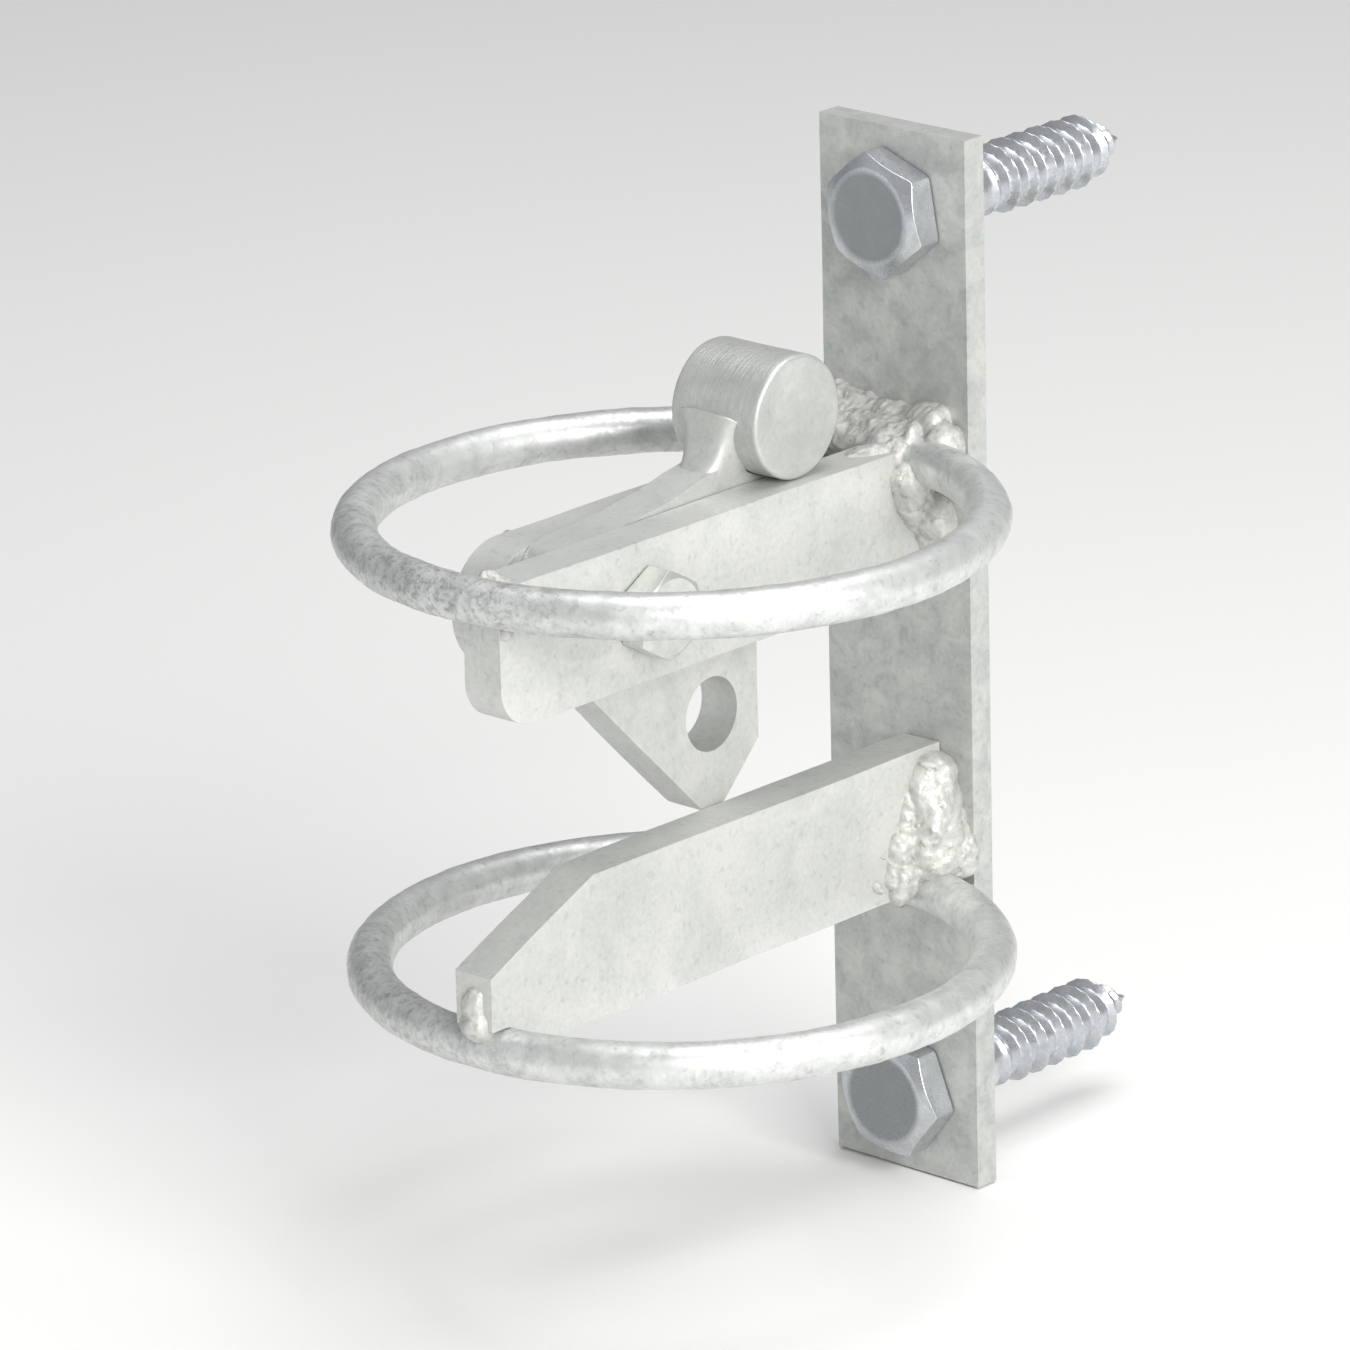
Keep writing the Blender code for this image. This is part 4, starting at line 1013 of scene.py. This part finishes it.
def build_camera(lens):
    """Camera above the right front, leaning very slightly, aimed at the middle of the latch."""
    azimuth, elevation, lean, distance = 42.75, 18.16, -1.4, 1.855
    target = Vector((0, RING_Y, 0.014))
    turn, rise = math.radians(azimuth), math.radians(elevation)
    back = Vector((math.sin(turn) * math.cos(rise), -math.cos(turn) * math.cos(rise), math.sin(rise)))
    data = bpy.data.cameras.new("view")
    data.lens = lens
    camera = bpy.data.objects.new("view", data)
    facing = (-back).to_track_quat("-Z", "Y").to_matrix().to_4x4()
    camera.matrix_world = (Matrix.Translation(target + back * distance) @ facing
                           @ Matrix.Rotation(math.radians(lean), 4, "Z"))
    bpy.context.scene.collection.objects.link(camera)
    bpy.context.scene.camera = camera


# ---------------------------------------------------------------- operators
class LATCH_OT_plates(bpy.types.Operator):
    """Cut the mounting plate, the two plates of the fork and the lower stop arm"""

    bl_idname = "latch.plates"
    bl_label = "Plates and Arms"

    def execute(self, context):
        sizes = context.scene.latch_sizes
        pivot = ((PIVOT_Y, PIVOT_Z), PIVOT_HOLE)
        middle = ((STOP_LOW.y + STOP_HIGH.y) / 2, (STOP_LOW.z + STOP_HIGH.z) / 2)
        build_back_plate(sizes)
        build_arm("fork_arm", "upper_arm", upper_arm_outline(), pivot, sizes, 12)
        build_arm("fork_cheek", "side_cheek", side_cheek_outline(), pivot, sizes, 15)
        build_arm("stop_arm", "lower_arm", lower_arm_outline(), (middle, 0.0), sizes, 18)
        return {"FINISHED"}


class LATCH_OT_rings(bpy.types.Operator):
    """Bend the two guard rings from round bar"""

    bl_idname = "latch.rings"
    bl_label = "Guard Rings"

    def execute(self, context):
        sizes = context.scene.latch_sizes
        for seed, (node, height) in enumerate(RING_Z.items()):
            grid = ring_grid(height, sizes.zinc_wave, 60 + 5 * seed)
            mesh = make_mesh(node + " bar", [grid], closed=True)
            add_piece(node + "_bar", mesh, finish_named("zinc rod"), FRAME_BODY, node)
        return {"FINISHED"}


class LATCH_OT_pawl(bpy.types.Operator):
    """Make the pawl plate, its weight and the welded neck between them"""

    bl_idname = "latch.pawl"
    bl_label = "Pawl and Weight"

    def execute(self, context):
        sizes = context.scene.latch_sizes
        build_pawl_plate(sizes)
        build_weight(sizes)
        build_neck(sizes)
        return {"FINISHED"}


class LATCH_OT_pivot(bpy.types.Operator):
    """Fit the pivot bolt with its washer and lock nut"""

    bl_idname = "latch.pivot"
    bl_label = "Pivot Bolt"

    def execute(self, context):
        build_pivot_bolt(context.scene.latch_sizes)
        build_washer_and_nut()
        return {"FINISHED"}


class LATCH_OT_screws(bpy.types.Operator):
    """Put the two coach screws through the mounting plate"""

    bl_idname = "latch.screws"
    bl_label = "Coach Screws"

    def execute(self, context):
        sizes = context.scene.latch_sizes
        build_coach_screw("upper_wood_screw", "upper_coach_screw", SCREW_Z, 20, sizes)
        build_coach_screw("lower_wood_screw", "lower_coach_screw", -SCREW_Z, 8, sizes)
        return {"FINISHED"}


class LATCH_OT_welds(bpy.types.Operator):
    """Lay the rough weld beads and their spatter"""

    bl_idname = "latch.welds"
    bl_label = "Weld Beads"

    def execute(self, context):
        sizes = context.scene.latch_sizes
        for order, (name, node, outward, anchor, beads) in enumerate(weld_lines()):
            grids = []
            for number, bead in enumerate(beads):
                points = np.array(bead) * MILLIMETRE + (*anchor, 0)
                grids.append(bead_grid(points, outward, sizes, 100 + 20 * order + number))
            piece = add_piece(name, make_mesh(name, grids), finish_named("weld zinc"), FRAME_BODY, node)
            fuse(piece, sizes.weld_grain)
        return {"FINISHED"}


class LATCH_OT_studio(bpy.types.Operator):
    """Set the pale floor, the soft lights and the camera"""

    bl_idname = "latch.studio"
    bl_label = "Studio"

    def execute(self, context):
        build_floor()
        build_lights()
        build_camera(context.scene.latch_sizes.lens)
        context.scene.view_settings.view_transform = "Standard"
        return {"FINISHED"}


# ---------------------------------------------------------------- panel and run
class LATCH_PT_sidebar(bpy.types.Panel):
    """Sidebar panel that lists the latch's sizes, finishes and pieces"""

    bl_idname = "LATCH_PT_sidebar"
    bl_label = "Gravity Gate Latch"
    bl_space_type = "VIEW_3D"
    bl_region_type = "UI"
    bl_category = "Gate Latch"

    def draw(self, context):
        layout = self.layout
        for group in (context.scene.latch_sizes, context.scene.latch_finishes):
            for key in group.bl_rna.properties.keys():
                if key not in {"rna_type", "name"}:
                    layout.prop(group, key)
        for step in STEPS:
            layout.operator(step.bl_idname)


STEPS = (LATCH_OT_plates, LATCH_OT_rings, LATCH_OT_pawl, LATCH_OT_pivot, LATCH_OT_screws,
         LATCH_OT_welds, LATCH_OT_studio)
CLASSES = (LatchSizes, LatchFinishes, *STEPS, LATCH_PT_sidebar)


def register():
    for cls in CLASSES:
        bpy.utils.register_class(cls)
    bpy.types.Scene.latch_sizes = PointerProperty(type=LatchSizes)
    bpy.types.Scene.latch_finishes = PointerProperty(type=LatchFinishes)


def unregister():
    del bpy.types.Scene.latch_finishes
    del bpy.types.Scene.latch_sizes
    for cls in reversed(CLASSES):
        bpy.utils.unregister_class(cls)


def main():
    """Build every piece and the studio."""
    register()
    bpy.ops.latch.plates()
    bpy.ops.latch.rings()
    bpy.ops.latch.pawl()
    bpy.ops.latch.pivot()
    bpy.ops.latch.screws()
    bpy.ops.latch.welds()
    bpy.ops.latch.studio()


if __name__ == "__main__":
    main()
